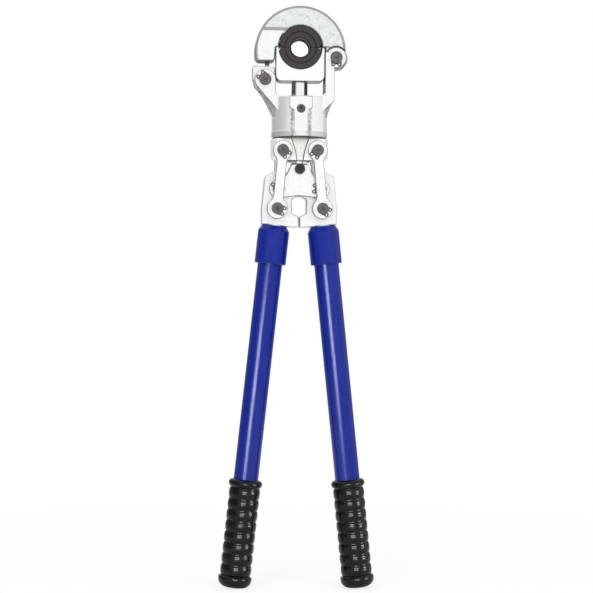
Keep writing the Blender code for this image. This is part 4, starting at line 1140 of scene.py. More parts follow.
@dataclass
class Dies:
    """Pair of half dies with stepped faces."""

    bench: Bench
    diameter: float = 42.8
    width: float = 26.0
    step_diameter: float = 32.0
    step_depth: float = 1.2
    bore: float = 18.3
    relief_diameter: float = 21.4
    relief_width: float = 9.0
    corner: float = 3.0

    @property
    def centre(self) -> float:
        """Height of the dies' split."""
        return (corners("upper_die")[0].z + corners("lower_die")[1].z) / 2

    def half_ring(self, turn: int) -> Outline:
        """Outline of half a die, turned up (1) or down (-1).

        Args:
            turn: 1 for the upper die, -1 for the lower.

        Returns:
            The outline.
        """
        outer = self.diameter / 2
        bore = self.bore / 2
        start = math.degrees(math.asin((self.corner + GAP / 2) / outer))
        flat = math.degrees(math.asin(GAP / 2 / bore))
        inner = outer * math.cos(math.radians(start)) - self.corner
        points = arc(0.0, 0.0, outer, start, 180 - start)
        points += [(-inner, GAP / 2)]
        points += reversed(arc(0.0, 0.0, bore, flat, 180 - flat))
        points += [(inner, GAP / 2)]
        return [(x, self.centre + turn * z) for x, z in points]

    def half(self, node: str, body: str, turn: int) -> None:
        """Half die with a sunk face ring, a relieved bore and broken edges.

        Args:
            node: frame node that it stands for.
            body: body that it rides on.
            turn: 1 for the upper die, -1 for the lower.
        """
        bench = self.bench
        half = self.width / 2
        item = bench.plate(f"{node}_turned", self.half_ring(turn), -half, half, 0.5, 3)
        step = half - self.step_depth
        clear = self.bore / 2 - 1.5
        run = self.relief_width / 2
        radius = self.step_diameter / 2
        profile = [(0.0, half + 1), (radius + 0.3, half + 1), (radius + 0.3, half),
                   (radius, half - 0.3), (radius, step - 0.9), (radius - 0.8, step - 0.9),
                   (radius - 1.0, step),
                   (self.bore / 2 + 1.6, step), (self.bore / 2, step - 1.6),
                   (clear, step - 2.4), (clear, run + 2.0), (self.relief_diameter / 2, run)]
        tool = bench.turned("cutter", profile + [(r, -y) for r, y in reversed(profile)], "Y",
                            (0.0, 0.0, self.centre))
        bench.take(item, tool)
        bench.done(item, body, BLACKENED, node)

    def build(self) -> None:
        """Both halves."""
        self.half("upper_die", "jaw", 1)
        self.half("lower_die", "die_slide", -1)


@dataclass
class Jaw:
    """C-shaped jaw, machined below and rough cast above, with a hinge lug and a latch leg."""

    bench: Bench
    dies: Dies
    radius: float = 45.2
    centre_drop: float = 3.9
    thickness: float = 25.0
    cast_thickness: float = 28.0
    cast_rise: float = 19.6
    slope: float = 3.8          # height of the slope from the cast part to the machined face
    rim: float = 2.5
    lug_thickness: float = 16.4
    lug_radius: float = 10.5
    lug_end: float = 292.0        # degrees, where the lug's outline ends below the hinge
    heel_start: float = 304.0     # degrees, where the heel's begins
    leg_corner: float = 5.0
    leg_inner_corner: float = 3.5

    @property
    def hinge(self) -> Spot:
        """Axis of the jaw's hinge."""
        return spot_of("jaw_hinge_pin")

    @property
    def seat_radius(self) -> float:
        """Radius of the seat of the upper die."""
        return self.dies.diameter / 2 + GAP

    def leg_inner_face(self, bottom: float) -> Outline:
        """Inner face of the latch leg, an arc about the hinge that clears the die holder.

        Args:
            bottom: height of the leg's end.

        Returns:
            Points from there upwards.
        """
        low_corner, high_corner = corners("die_holder")
        split = self.dies.centre
        reach = Vector((low_corner.x, high_corner.z)) - Vector(self.hinge.pair)
        radius = reach.length + GAP
        low = bottom + self.leg_inner_corner
        face = []
        for i in range(9):
            z = low + (split + GAP / 2 - low) * i / 8
            face.append((self.hinge.x - math.sqrt(radius ** 2 - (z - self.hinge.z) ** 2), z))
        corner = self.leg_inner_corner
        return arc(face[0][0] - corner, low, corner, 270, 360)[:-1] + face

    def outline(self) -> Outline:
        """Front outline of the jaw.

        Returns:
            The outline, from the dies' seat round the hinge and over the top.
        """
        hinge = self.hinge
        top = self.dies.centre + GAP / 2
        middle = (0.0, self.dies.centre - self.centre_drop)
        points = [(self.seat_radius, top), (hinge.x - self.lug_radius, top)]
        points += arc(*hinge.pair, self.lug_radius, 180, self.lug_end)
        leave = crossing(hinge.pair, HEEL, middle, self.radius)
        points += arc(*hinge.pair, HEEL, self.heel_start, 360 + leave)
        bottom = self.dies.centre - LEG_DROP
        corner_z = bottom + self.leg_corner
        end = 180 + math.degrees(math.asin((middle[1] - corner_z) / self.radius))
        points += arc(*middle, self.radius, bearing(middle, points[-1]), end)[1:]
        points += arc(points[-1][0] + self.leg_corner, corner_z, self.leg_corner, 180, 270)[1:]
        points += self.leg_inner_face(bottom)
        points += [(-self.seat_radius, top)]
        flat = math.degrees(math.asin(GAP / 2 / self.seat_radius))
        points += reversed(arc(0.0, self.dies.centre, self.seat_radius, flat, 180 - flat)[1:-1])
        return points

    def crown(self) -> bpy.types.Object:
        """Thicker cast part: over the dies on the latch side, and down to the hinge.

        Returns:
            The crown, with its slopes down to the machined faces.
        """
        centre = self.dies.centre
        middle = centre - self.centre_drop
        low = self.cast_rise - self.slope - 2.0
        rise = math.degrees(math.asin((low + self.centre_drop) / self.radius))
        seat = math.degrees(math.asin(low / self.seat_radius))
        outline = arc(0.0, middle, self.radius - 0.01, -8.0, 180 - rise)
        outline += reversed(arc(0.0, centre, self.seat_radius + 0.01, 0.6, 180 - seat))
        outline.append((self.hinge.x - 8.0, centre + GAP / 2 + 0.01))
        half = self.cast_thickness / 2
        item = self.bench.plate("crown", outline, -half, half, self.rim, 6)
        flush = self.thickness / 2 - 0.3
        foot = centre + self.cast_rise - self.slope
        for way in Way:
            section = [(flush, foot - 20.0), (flush, foot), (half + 0.02, foot + self.slope),
                       (half + 9.0, foot + self.slope), (half + 9.0, foot - 20.0)]
            wedge = self.bench.plate("cutter", [(way.value * y, z) for y, z in section],
                                     4.0, self.radius + 4.0)
            wedge.data.transform(Matrix.Rotation(math.pi / 2, 4, "Z"))
            self.bench.take(item, wedge)
        return item

    def build(self) -> None:
        """The jaw frame."""
        bench = self.bench
        half = self.thickness / 2
        lug = self.lug_thickness / 2
        item = bench.plate("jaw_frame_forging", self.outline(), -half, half, self.rim, 6)
        bench.join(item, self.crown())
        pocket = circle(*self.hinge.pair, HEEL + GAP)
        for way in Way:
            bench.mill(item, pocket, way.value * lug, way.value * self.cast_thickness)
        bench.drill(item, self.hinge, HEAD_PIN, lug)
        slots = LatchSlots(self.dies)
        for low, high, start, depth in slots.sectors():
            bench.mill(item, latch_sector(low, high, start, slots.run_out), -depth, depth)
        bench.done(item, "jaw", JAW_PLATING, "jaw_frame", angle=20.0)


# Latch


def latch_sector(low: float, high: float, start: float, end: float) -> Outline:
    """Outline of a ring sector about the latch pin, between two radii and two angles.

    Args:
        low: inner radius.
        high: outer radius.
        start: first angle in degrees.
        end: last angle in degrees.

    Returns:
        The outline.
    """
    pin = spot_of("latch_pin")
    outer = [(high, angle) for angle in spread(start, end, 16)]
    inner = [(low, angle) for angle in reversed(spread(start, end, 16))]
    return [(pin.x + r * math.cos(a), pin.z + r * math.sin(a)) for r, a in outer + inner]


@dataclass
class LatchSlots:
    """Sizes that the latch's head and its slot in the jaw share."""

    dies: Dies
    body_rise: float = 14.2
    neck_offset: float = 2.4
    neck_width: float = 4.4
    neck_depth: float = 6.4
    head_width: float = 8.0
    head_depth: float = 15.0
    head_low: float = 27.0
    head_high: float = 33.0
    run_out: float = 150.0        # degrees, past the jaw's outside
    fit: float = 0.4

    def edge_angle(self, offset: float, radius: float) -> float:
        """Bearing from the latch pin of a point that lies inwards by an offset at a radius."""
        return math.degrees(math.acos(offset / radius))

    def sectors(self) -> list[tuple[float, float, float, float]]:
        """Slots in the jaw's leg as (inner radius, outer radius, first angle, half depth).

        Returns:
            The head's slot and the neck's.
        """
        pin = spot_of("latch_pin")
        leg = self.dies.centre - LEG_DROP - pin.z
        head = self.edge_angle(self.neck_offset + self.head_width / 2 + self.fit, self.head_low)
        neck = self.edge_angle(self.neck_offset + self.neck_width / 2 + self.fit, leg)
        return [(self.head_low - self.fit, self.head_high + 1.0, head,
                 self.head_depth / 2 + self.fit),
                (self.body_rise, self.head_low + 1.0, neck, self.neck_depth / 2 + self.fit)]


@dataclass
class Latch:
    """Swing latch: a block on its pin, with a neck and a cross head in the jaw's leg."""

    bench: Bench
    slots: LatchSlots
    thickness: float = 16.2
    outer_x: float = 47.2
    inner_x: float = 25.2
    drop: float = 9.4

    def build(self) -> None:
        """The latch."""
        bench = self.bench
        slots = self.slots
        pin = spot_of("latch_pin")
        top = pin.z + slots.body_rise
        low = pin.z - self.drop
        outline = rounded([(-self.outer_x, top + 0.5, 1.5), (-self.outer_x, pin.z + 2.0, 3.0),
                           (pin.x - self.drop, low, 7.0), (pin.x + self.drop, low, 8.5),
                           (-self.inner_x, pin.z, 2.0), (-self.inner_x, top - 1.0, 1.5)])
        half = self.thickness / 2
        item = bench.plate("latch_forging", outline, -half, half, 0.6, 3)
        neck_x = pin.x + slots.neck_offset
        neck = slots.neck_width / 2
        neck_top = pin.z + slots.head_low + 1.5
        shape = [(neck_x - neck, top - 3.0), (neck_x + neck, top - 3.0),
                 (neck_x + neck, neck_top), (neck_x - neck, neck_top)]
        depth = slots.neck_depth / 2
        bench.join(item, bench.plate("neck", shape, -depth, depth, 0.3))
        reach = slots.head_width / 2
        start = slots.edge_angle(slots.neck_offset + reach, slots.head_high)
        end = slots.edge_angle(slots.neck_offset - reach, slots.head_high)
        head = latch_sector(slots.head_low, slots.head_high, start, end)
        depth = slots.head_depth / 2
        bench.join(item, bench.plate("head", head, -depth, depth, 0.5))
        bench.drill(item, pin, HEAD_PIN, half)
        bench.done(item, "latch", LATCH_PLATING, "latch")


# Die holder and ram


@dataclass
class Holder:
    """Block that slides in the fork, with the lower die's seat on top."""

    bench: Bench
    dies: Dies
    corner: float = 5.5
    top_corner: float = 1.5
    ram_hole: float = 5.3
    ram_hole_depth: float = 8.1
    pin_hole: float = 1.8
    pin_hole_depth: float = 8.0   # forwards from the middle plane, from the rear face

    def build(self) -> None:
        """The die holder."""
        low, high = corners("die_holder")
        seat = self.dies.diameter / 2 + GAP
        flat = math.degrees(math.asin(GAP / 2 / seat))
        centre = self.dies.centre
        outline = rounded([(high.x, low.z, self.corner), (high.x, high.z, self.top_corner),
                           (0.0, high.z), (low.x, high.z, 0.5), (low.x, low.z, self.corner)])
        middle = outline.index((0.0, high.z))
        outline[middle:middle + 1] = reversed(arc(0.0, centre, seat, 180 + flat, 360 - flat))
        bench = self.bench
        item = bench.plate("die_holder_block", outline, low.y, high.y, 0.8, 3)
        bench.take(item, bench.rod(self.ram_hole, low.z - 1.0, low.z + self.ram_hole_depth, "Z"),
                   bench.rod(self.pin_hole, -high.y - 1.0, self.pin_hole_depth, "Y",
                             spot_of("die_holder_pin").place))
        bench.done(item, "die_slide", MILLED, "die_holder")


@dataclass
class Ram:
    """Polished ram with a foot between the push plates."""

    bench: Bench
    radius: float = 8.2
    foot: float = 9.0
    foot_height: float = 12.0
    stub: float = 5.0             # in the die holder
    stub_groove: float = 3.6      # round the holder's pin

    def build(self) -> None:
        """The ram."""
        low, high = corners("ram")
        top = corners("die_holder")[0].z - GAP
        foot_top = low.z + self.foot_height
        stub = self.stub
        groove = self.stub_groove
        profile = [(0.0, high.z), (stub - 0.8, high.z), (stub, high.z - 0.8), (stub, top + 6.2),
                   (groove, top + 6.2), (groove, top + 2.4), (stub, top + 2.4), (stub, top),
                   (self.radius - 0.8, top), (self.radius - 0.2, top - 0.3),
                   (self.radius, top - 0.9), (self.radius, foot_top + 0.5),
                   (self.radius + 0.5, foot_top), (self.foot, foot_top - 0.8),
                   (self.foot, low.z + 0.8), (self.foot - 0.8, low.z), (0.0, low.z)]
        item = self.bench.turned("ram_rod", profile)
        self.bench.pierce(item, spot_of("ram_screw"), RAM_SCREW + PIN_FIT, self.foot + 1)
        self.bench.done(item, "push", POLISHED, "ram")


# Fork


@dataclass
class Fork:
    """Forged fork: swivel barrel, two arms with slotted ears and a milled pad in front."""

    bench: Bench
    radius: float = 28.0
    length: float = 40.1
    gap: float = 49.2
    slot: float = 17.0
    right_ear: float = 9.9
    left_ear: float = 10.4
    ear_turn: float = 148.0       # degrees, where the hinge ear meets the inner face
    arm_outer_x: float = 33.8
    arm_foot_rise: float = -3.6
    root_cover: float = 3.0
    root_land: float = 1.5
    arm_root_drop: float = 16.1
    flat_turn: float = 216.0
    flank_depth: float = 23.0
    flank_edge: float = 4.0
    flank_foot: float = 21.0
    flank_curve: float = 1.4      # power of its sweep
    flank_steps: int = 14
    flank_cover: float = 1.2      # cast skin inside the barrel's edge and the ear's side
    flank_drop: float = 5.0       # below the latch pin
    knee_inset: float = 0.4
    knee_rise: float = 1.0
    floor_chamfer: float = 4.3
    pad_width: float = 22.6
    pad_height: float = 14.6
    pad_face: float = 28.2
    rib_width: float = 14.2
    rib_height: float = 36.0
    spigot_hole: float = SPIGOT + PIN_FIT
    screw_hole: float = 4.3
    slot_reach: float = 14.0      # of the ears' slots past their pins
    latch_slot_drop: float = 12.9
    lip_depth: float = 0.4
    lip_height: float = 5.2

    @property
    def bottom(self) -> float:
        """Lower face of the barrel."""
        return corners("fork_head")[0].z

    @property
    def floor(self) -> float:
        """Top face of the barrel, between the arms."""
        return self.bottom + self.length

    def arm_inside(self) -> Outline:
        """Inner face of the hinge arm, from its root in the barrel up to the floor's chamfer.

        Returns:
            Points from the root upwards.
        """
        inner = self.gap / 2
        root = self.spigot_hole + self.root_land
        return [(root, self.floor - self.arm_root_drop), (root, self.floor - 3.0),
                (inner - self.floor_chamfer - 1.0, self.floor - 1.0),
                (inner, self.floor + self.floor_chamfer)]

    @property
    def arm_root(self) -> Point:
        """Place on the right where an arm's flat runs out on the barrel."""
        return (self.spigot_hole + self.root_cover, self.floor - self.arm_root_drop)

    def right_arm(self) -> Outline:
        """Front outline of the hinge arm.

        Returns:
            The outline.
        """
        hinge = spot_of("jaw_hinge_pin")
        foot = math.degrees(math.asin((hinge.x - self.arm_outer_x) / self.right_ear))
        points = self.arm_inside()
        rise = self.right_ear * math.sin(math.radians(self.ear_turn))
        points.append((self.gap / 2, hinge.z + rise))
        points += reversed(arc(*hinge.pair, self.right_ear, -90 - foot, self.ear_turn))
        return points + [(self.arm_outer_x, self.floor + self.arm_foot_rise), self.arm_root]

    def left_arm(self) -> Outline:
        """Front outline of the latch arm, lower, with a slanted edge from ear to barrel.

        Returns:
            The outline.
        """
        pin = spot_of("latch_pin")
        points = mirrored(self.arm_inside(), Side.LEFT)
        points += arc(*pin.pair, self.left_ear, 0, self.flat_turn)
        return points + mirrored([self.arm_root], Side.LEFT)

    def flank(self, side: Side) -> bpy.types.Object:
        """Cast flank behind an arm's flat, which sweeps in to the barrel.

        Args:
            side: side of the arm.

        Returns:
            The flank.
        """
        pin = spot_of("latch_pin")
        if side is Side.RIGHT:
            top = (self.arm_outer_x - self.knee_inset,
                   self.floor + self.arm_foot_rise + self.knee_rise)
        else:
            top = (-pin.x + self.left_ear - self.flank_cover, pin.z - self.flank_drop)
        foot = (self.radius - self.flank_cover, self.floor - self.flank_foot)
        sweep = [i / self.flank_steps for i in range(self.flank_steps + 1)]
        curve = [(foot[0] + (top[0] - foot[0]) * (1 - share) ** self.flank_curve,
                  top[1] + (foot[1] - top[1]) * share) for share in sweep]
        root = self.spigot_hole + self.root_land
        inside = [(root, foot[1]), (root, self.floor - 4.0),
                  (self.gap / 2 + 1.0, self.floor + self.floor_chamfer / 3)]
        half = self.flank_depth / 2
        return self.bench.plate("flank", mirrored(inside + curve, side), -half, half,
                                self.flank_edge, 5)

    def barrel(self) -> bpy.types.Object:
        """Round bored barrel with a turned lip round its lower end.

        Returns:
            The barrel.
        """
        top = self.floor
        low = self.bottom
        skin = self.radius - self.lip_depth
        ceiling = self.bottom - WASHER + SPIGOT_HEIGHT + GAP
        lip = low + self.lip_height
        hole = RAM_BORE
        profile = [(hole, top - 0.6), (hole + 0.6, top), (skin - 1.6, top),
                   (skin - 0.5, top - 0.45), (skin, top - 1.5), (skin, lip + 1.6),
                   (skin + 0.1, lip + 0.7), (self.radius - 0.05, lip + 0.1),
                   (self.radius, lip - 0.5), (self.radius, low + 1.1),
                   (self.radius - 0.35, low + 0.35), (self.radius - 1.1, low),
                   (self.spigot_hole, low), (self.spigot_hole, ceiling), (hole, ceiling)]
        return self.bench.turned("fork_head_forging", profile, steps=128)

    def pad(self) -> bpy.types.Object:
        """Milled pad with a rib that runs down the barrel's front.

        Returns:
            The pad with its rib.
        """
        pad = self.pad_width / 2
        rib = self.rib_width / 2
        low = self.floor - self.pad_height
        foot = self.floor - self.rib_height
        outline = [(pad, self.floor - 0.6), (-pad, self.floor - 0.6), (-pad, low + 2.6),
                   (-rib, low), (-rib, foot), (rib, foot), (rib, low), (pad, low + 2.6)]
        return self.bench.plate("pad", outline, -self.pad_face, -SPIGOT - 3.0, 0.9)

    def build(self) -> None:
        """The fork with its two slots and its bores."""
        bench = self.bench
        hinge = spot_of("jaw_hinge_pin")
        latch = spot_of("latch_pin")
        screw = spot_of("swivel_screw")
        item = self.barrel()
        bench.join(item, *(self.flank(side) for side in Side))
        for arm in (self.right_arm(), self.left_arm()):
            bench.join(item, bench.plate("arm", arm, -HEAD_FACE, HEAD_FACE, 0.8, 3))
        bench.join(item, self.pad())
        near = self.gap / 2 - 2.0
        heel = hinge.z - HEEL - 1.0
        reach = self.slot_reach
        low = latch.z - self.latch_slot_drop
        hinge_slot = [(near, heel), (hinge.x + reach, heel), (hinge.x + reach, hinge.z + reach),
                      (near, hinge.z + reach)]
        latch_slot = [(latch.x - reach, low), (-near, low), (-near, latch.z + reach),
                      (latch.x - reach, latch.z + reach)]
        half = self.slot / 2
        for slot in (hinge_slot, latch_slot):
            bench.mill(item, slot, -half, half)
        for spot in (hinge, latch):
            bench.drill(item, spot, HEAD_PIN, HEAD_FACE)
        bench.take(item, bench.rod(self.screw_hole, SPIGOT - 3, self.pad_face + 1, "Y",
                                   (0.0, 0.0, screw.z)))
        bench.done(item, "head", FORK_CASTING, "fork_head")


# Linkage


@dataclass
class Block:
    """Linkage block with milled flats, a spigot and a waisted recess in each face."""

    bench: Bench
    radius: float = 28.8
    corner: float = 5.0
    recess_depth: float = 2.0
    recess_draft: float = 0.95
    recess_top: float = 20.0
    recess_bottom: float = 7.2
    recess_ease: float = 1.7
    recess_steps: int = 18
    groove_depth: float = 1.8
    groove_half: float = 3.2

    def recess(self, bottom: float, top: float) -> Outline:
        """Outline of the recess, wide at the top and narrow below.

        Args:
            bottom: height of the block's lower face.
            top: height of its upper face.

        Returns:
            The outline, past both faces.
        """
        high = top + 2.0
        low = bottom - 2.0
        right = []
        for i in range(self.recess_steps + 1):
            t = i / self.recess_steps
            ease = 1 - (1 - t) ** self.recess_ease
            half = self.recess_top / 2 + (self.recess_bottom - self.recess_top) / 2 * ease
            right.append((half, high + (low - high) * t))
        return right + [(-x, z) for x, z in reversed(right)]

    def build(self) -> None:
        """The block."""
        bench = self.bench
        low, high = corners("linkage_block")
        bottom = low.z
        top = high.z - SPIGOT_HEIGHT
        groove = spot_of("swivel_screw").z
        upper, lower = groove + self.groove_half, groove - self.groove_half
        floor = SPIGOT - self.groove_depth
        profile = [(0.0, high.z), (SPIGOT - 1, high.z), (SPIGOT, high.z - 1), (SPIGOT, upper),
                   (floor, upper), (floor, lower), (SPIGOT, lower), (SPIGOT, top),
                   (self.radius - 0.6, top), (self.radius, top - 0.6),
                   (self.radius, bottom + self.corner)]
        profile += [(self.radius - self.corner * (1 - math.cos(a)),
                     bottom + self.corner * (1 - math.sin(a))) for a in spread(12, 90, 8)]
        profile.append((0.0, bottom))
        item = bench.turned("linkage_block_milled", profile, steps=128)
        wide = self.radius + 2
        sheet = [(-wide, bottom - 2), (wide, bottom - 2), (wide, top + 0.01), (-wide, top + 0.01)]
        for way in Way:
            flat = bench.plate("cutter", sheet, way.value * BLOCK_FACE, way.value * wide)
            hollow = bench.plate("cutter", self.recess(bottom, top),
                                 way.value * (BLOCK_FACE - self.recess_depth),
                                 way.value * (BLOCK_FACE + 1), self.recess_draft, 1)
            bench.take(item, flat, hollow)
        bench.take(item, bench.rod(RAM_BORE, bottom - 1, high.z + 1, "Z"))
        for side in Side:
            bench.drill(item, spot_of(f"upper_link_pin_{side.word}"), LINK_PIN, BLOCK_FACE)
        bench.done(item, "block", BLOCK_PLATING, "linkage_block")


@dataclass
class Links:
    """Four links between the block and the levers."""

    bench: Bench
    upper_eye: float = 9.8
    lower_eye: float = 10.3
    half_width: float = 4.9
    fillet: float = 9.0

    def outline(self, upper: Spot, lower: Spot) -> Outline:
        """Dog-bone outline between two eyes.

        Args:
            upper: centre of the upper eye.
            lower: centre of the lower eye.

        Returns:
            The outline.
        """
        axis = Vector(upper.pair) - Vector(lower.pair)
        length = axis.length
        points = []
        for radius, sign in ((self.lower_eye, 1), (self.upper_eye, -1)):
            offset = self.half_width + self.fillet
            rise = math.sqrt((radius + self.fillet) ** 2 - offset ** 2)
            away = math.degrees(math.atan2(rise, offset))
            near = arc(offset, rise, self.fillet, 180 + away, 180)[1:]
            far = arc(-offset, rise, self.fillet, 0, -away)[:-1]
            loop = far + arc(0.0, 0.0, radius, 180 - away, 360 + away) + near
            points += [(sign * x, z if sign > 0 else length - z) for x, z in loop]
        along = axis.normalized()
        across = Vector((along.y, -along.x))
        return [(lower.x + across.x * x + along.x * z, lower.z + across.y * x + along.y * z)
                for x, z in points]

    def build(self, side: Side) -> None:
        """Front and rear link of a side.

        Args:
            side: left or right.
        """
        upper = spot_of(f"upper_link_pin_{side.word}")
        lower = spot_of(f"lower_link_pin_{side.word}")
        for way in Way:
            node = f"link_{way.word}_{side.word}"
            low, high = corners(node)
            item = self.bench.plate(f"{node}_forging", self.outline(upper, lower), low.y, high.y,
                                    0.9, 3)
            for spot in (upper, lower):
                self.bench.pierce(item, spot, LINK_PIN + PIN_FIT)
            self.bench.done(item, f"links_{side.word}", MILLED, node)


@dataclass
class PushPlates:
    """Bell-shaped plates that carry the lever pivots, with holes for their screw."""

    bench: Bench
    top_half: float = 8.2
    top_rise: float = 24.4
    waist_x: float = 13.4
    waist_rise: float = 13.0
    ear: float = 9.2
    ear_turn: float = 62.0
    arch: float = 2.6

    def outline(self, pivot: Spot) -> Outline:
        """Front outline of a plate.

        Args:
            pivot: pivot of the right lever.

        Returns:
            The outline.
        """
        ear = arc(pivot.x, pivot.z, self.ear, self.ear_turn, -90)
        right = rounded([(0.0, pivot.z + self.top_rise),
                         (self.top_half, pivot.z + self.top_rise, 3.0),
                         (self.waist_x, pivot.z + self.waist_rise, 5.0), ear[0]])
        right += ear[1:] + [(0.0, pivot.z - self.ear + self.arch)]
        return right + [(-x, z) for x, z in reversed(right) if x > 0.0]

    def build(self) -> None:
        """Both plates."""
        bench = self.bench
        pivots = [spot_of(f"lever_pivot_pin_{side.word}") for side in Side]
        screw = spot_of("ram_screw")
        for way in Way:
            node = f"push_plate_{way.word}"
            low, high = corners(node)
            item = bench.plate(f"{node}_milled", self.outline(pivots[1]), low.y, high.y, 0.8, 3)
            for spot in pivots:
                bench.pierce(item, spot, LINK_PIN + PIN_FIT)
            bench.pierce(item, screw, RAM_SCREW + PIN_FIT)
            bench.done(item, "push", MILLED, node)


@dataclass
class Screws:
    """Socket screw and nut that hold the ram, and the grub screw of the swivel."""

    bench: Bench
    head: float = 5.1
    head_height: float = 5.0
    pitch: float = 1.0
    core: float = 2.45            # radius at the thread's root
    thread_start: float = 26.0    # below the head's seat
    socket: float = 5.0
    socket_depth: float = 3.0
    grub: float = 4.0
    grub_tip: float = 2.7
    grub_socket: float = 4.0
    grub_socket_depth: float = 3.5
    nut_corner: float = 5.9
    nut_chamfer: float = 5.0
    washer_bore: float = 17.8
    washer_edge: float = 26.5

    def ram_screw(self) -> None:
        """Cap screw with a hexagon socket, a round head and a threaded shank."""
        bench = self.bench
        spot = spot_of("ram_screw")
        low, high = corners("ram_screw")
        crown = -low.y
        head = self.head
        seat = crown - self.head_height
        profile = [(0.0, crown), (head - 0.7, crown), (head - 0.2, crown - 0.25),
                   (head, crown - 0.8), (head, seat), (RAM_SCREW, seat)]
        depth = seat - self.thread_start
        while depth > -high.y + self.pitch:
            profile += [(RAM_SCREW, depth), (self.core, depth - self.pitch / 2)]
            depth -= self.pitch
        profile += [(2.6, -high.y), (0.0, -high.y)]
        item = bench.turned("ram_screw_turned", profile, "Y", spot.place, 48)
        bench.mill(item, hexagon(spot.x, spot.z, self.socket, 8.0), -crown - 1,
                   -crown + self.socket_depth)
        bench.done(item, "push", BLACKENED, "ram_screw")

    def ram_nut(self) -> None:
        """Hexagon nut with turned corners."""
        bench = self.bench
        spot = spot_of("ram_nut")
        low, high = corners("ram_nut")
        item = bench.plate("ram_nut_turned", hexagon(spot.x, spot.z, 10.0), low.y, high.y)
        middle = (low.y + high.y) / 2
        half = (high.y - low.y) / 2
        flat, corner = self.nut_chamfer, self.nut_corner
        shape = [(0.0, half), (flat, half), (corner, half - 0.6), (corner, 0.6 - half),
                 (flat, -half), (0.0, -half)]
        turned = bench.turned("cutter", shape, "Y", (spot.x, middle, spot.z), 64)
        bench.combine(item, Cut.KEEP, turned)
        bench.pierce(item, spot, RAM_SCREW + PIN_FIT)
        bench.done(item, "push", BLACKENED, "ram_nut")

    def swivel_screw(self) -> None:
        """Grub screw with a hexagon socket that keeps the fork on its spigot."""
        bench = self.bench
        spot = spot_of("swivel_screw")
        low, high = corners("swivel_screw")
        face = -low.y
        tip = -high.y
        grub, point = self.grub, self.grub_tip
        profile = [(0.0, face), (3.3, face), (grub, face - 0.6), (grub, tip + 3.2),
                   (point, tip + 2.4), (point, tip), (0.0, tip)]
        item = bench.turned("swivel_screw_turned", profile, "Y", spot.place, 48)
        bench.mill(item, hexagon(spot.x, spot.z, self.grub_socket, 10.0), -face - 1,
                   -face + self.grub_socket_depth)
        bench.done(item, "head", PIN_STEEL, "swivel_screw")

    def washer(self) -> None:
        """Thin washer under the barrel."""
        low, high = corners("swivel_washer")
        bore, edge = self.washer_bore, self.washer_edge
        profile = [(bore, high.z), (edge - 0.15, high.z), (edge, high.z - 0.15),
                   (edge, low.z + 0.15), (edge - 0.15, low.z), (bore, low.z)]
        item = self.bench.turned("swivel_washer_turned", profile, steps=128)
        self.bench.done(item, "head", PIN_STEEL, "swivel_washer")

    def build(self) -> None:
        """All four."""
        self.ram_screw()
        self.ram_nut()
        self.swivel_screw()
        self.washer()


# Handles


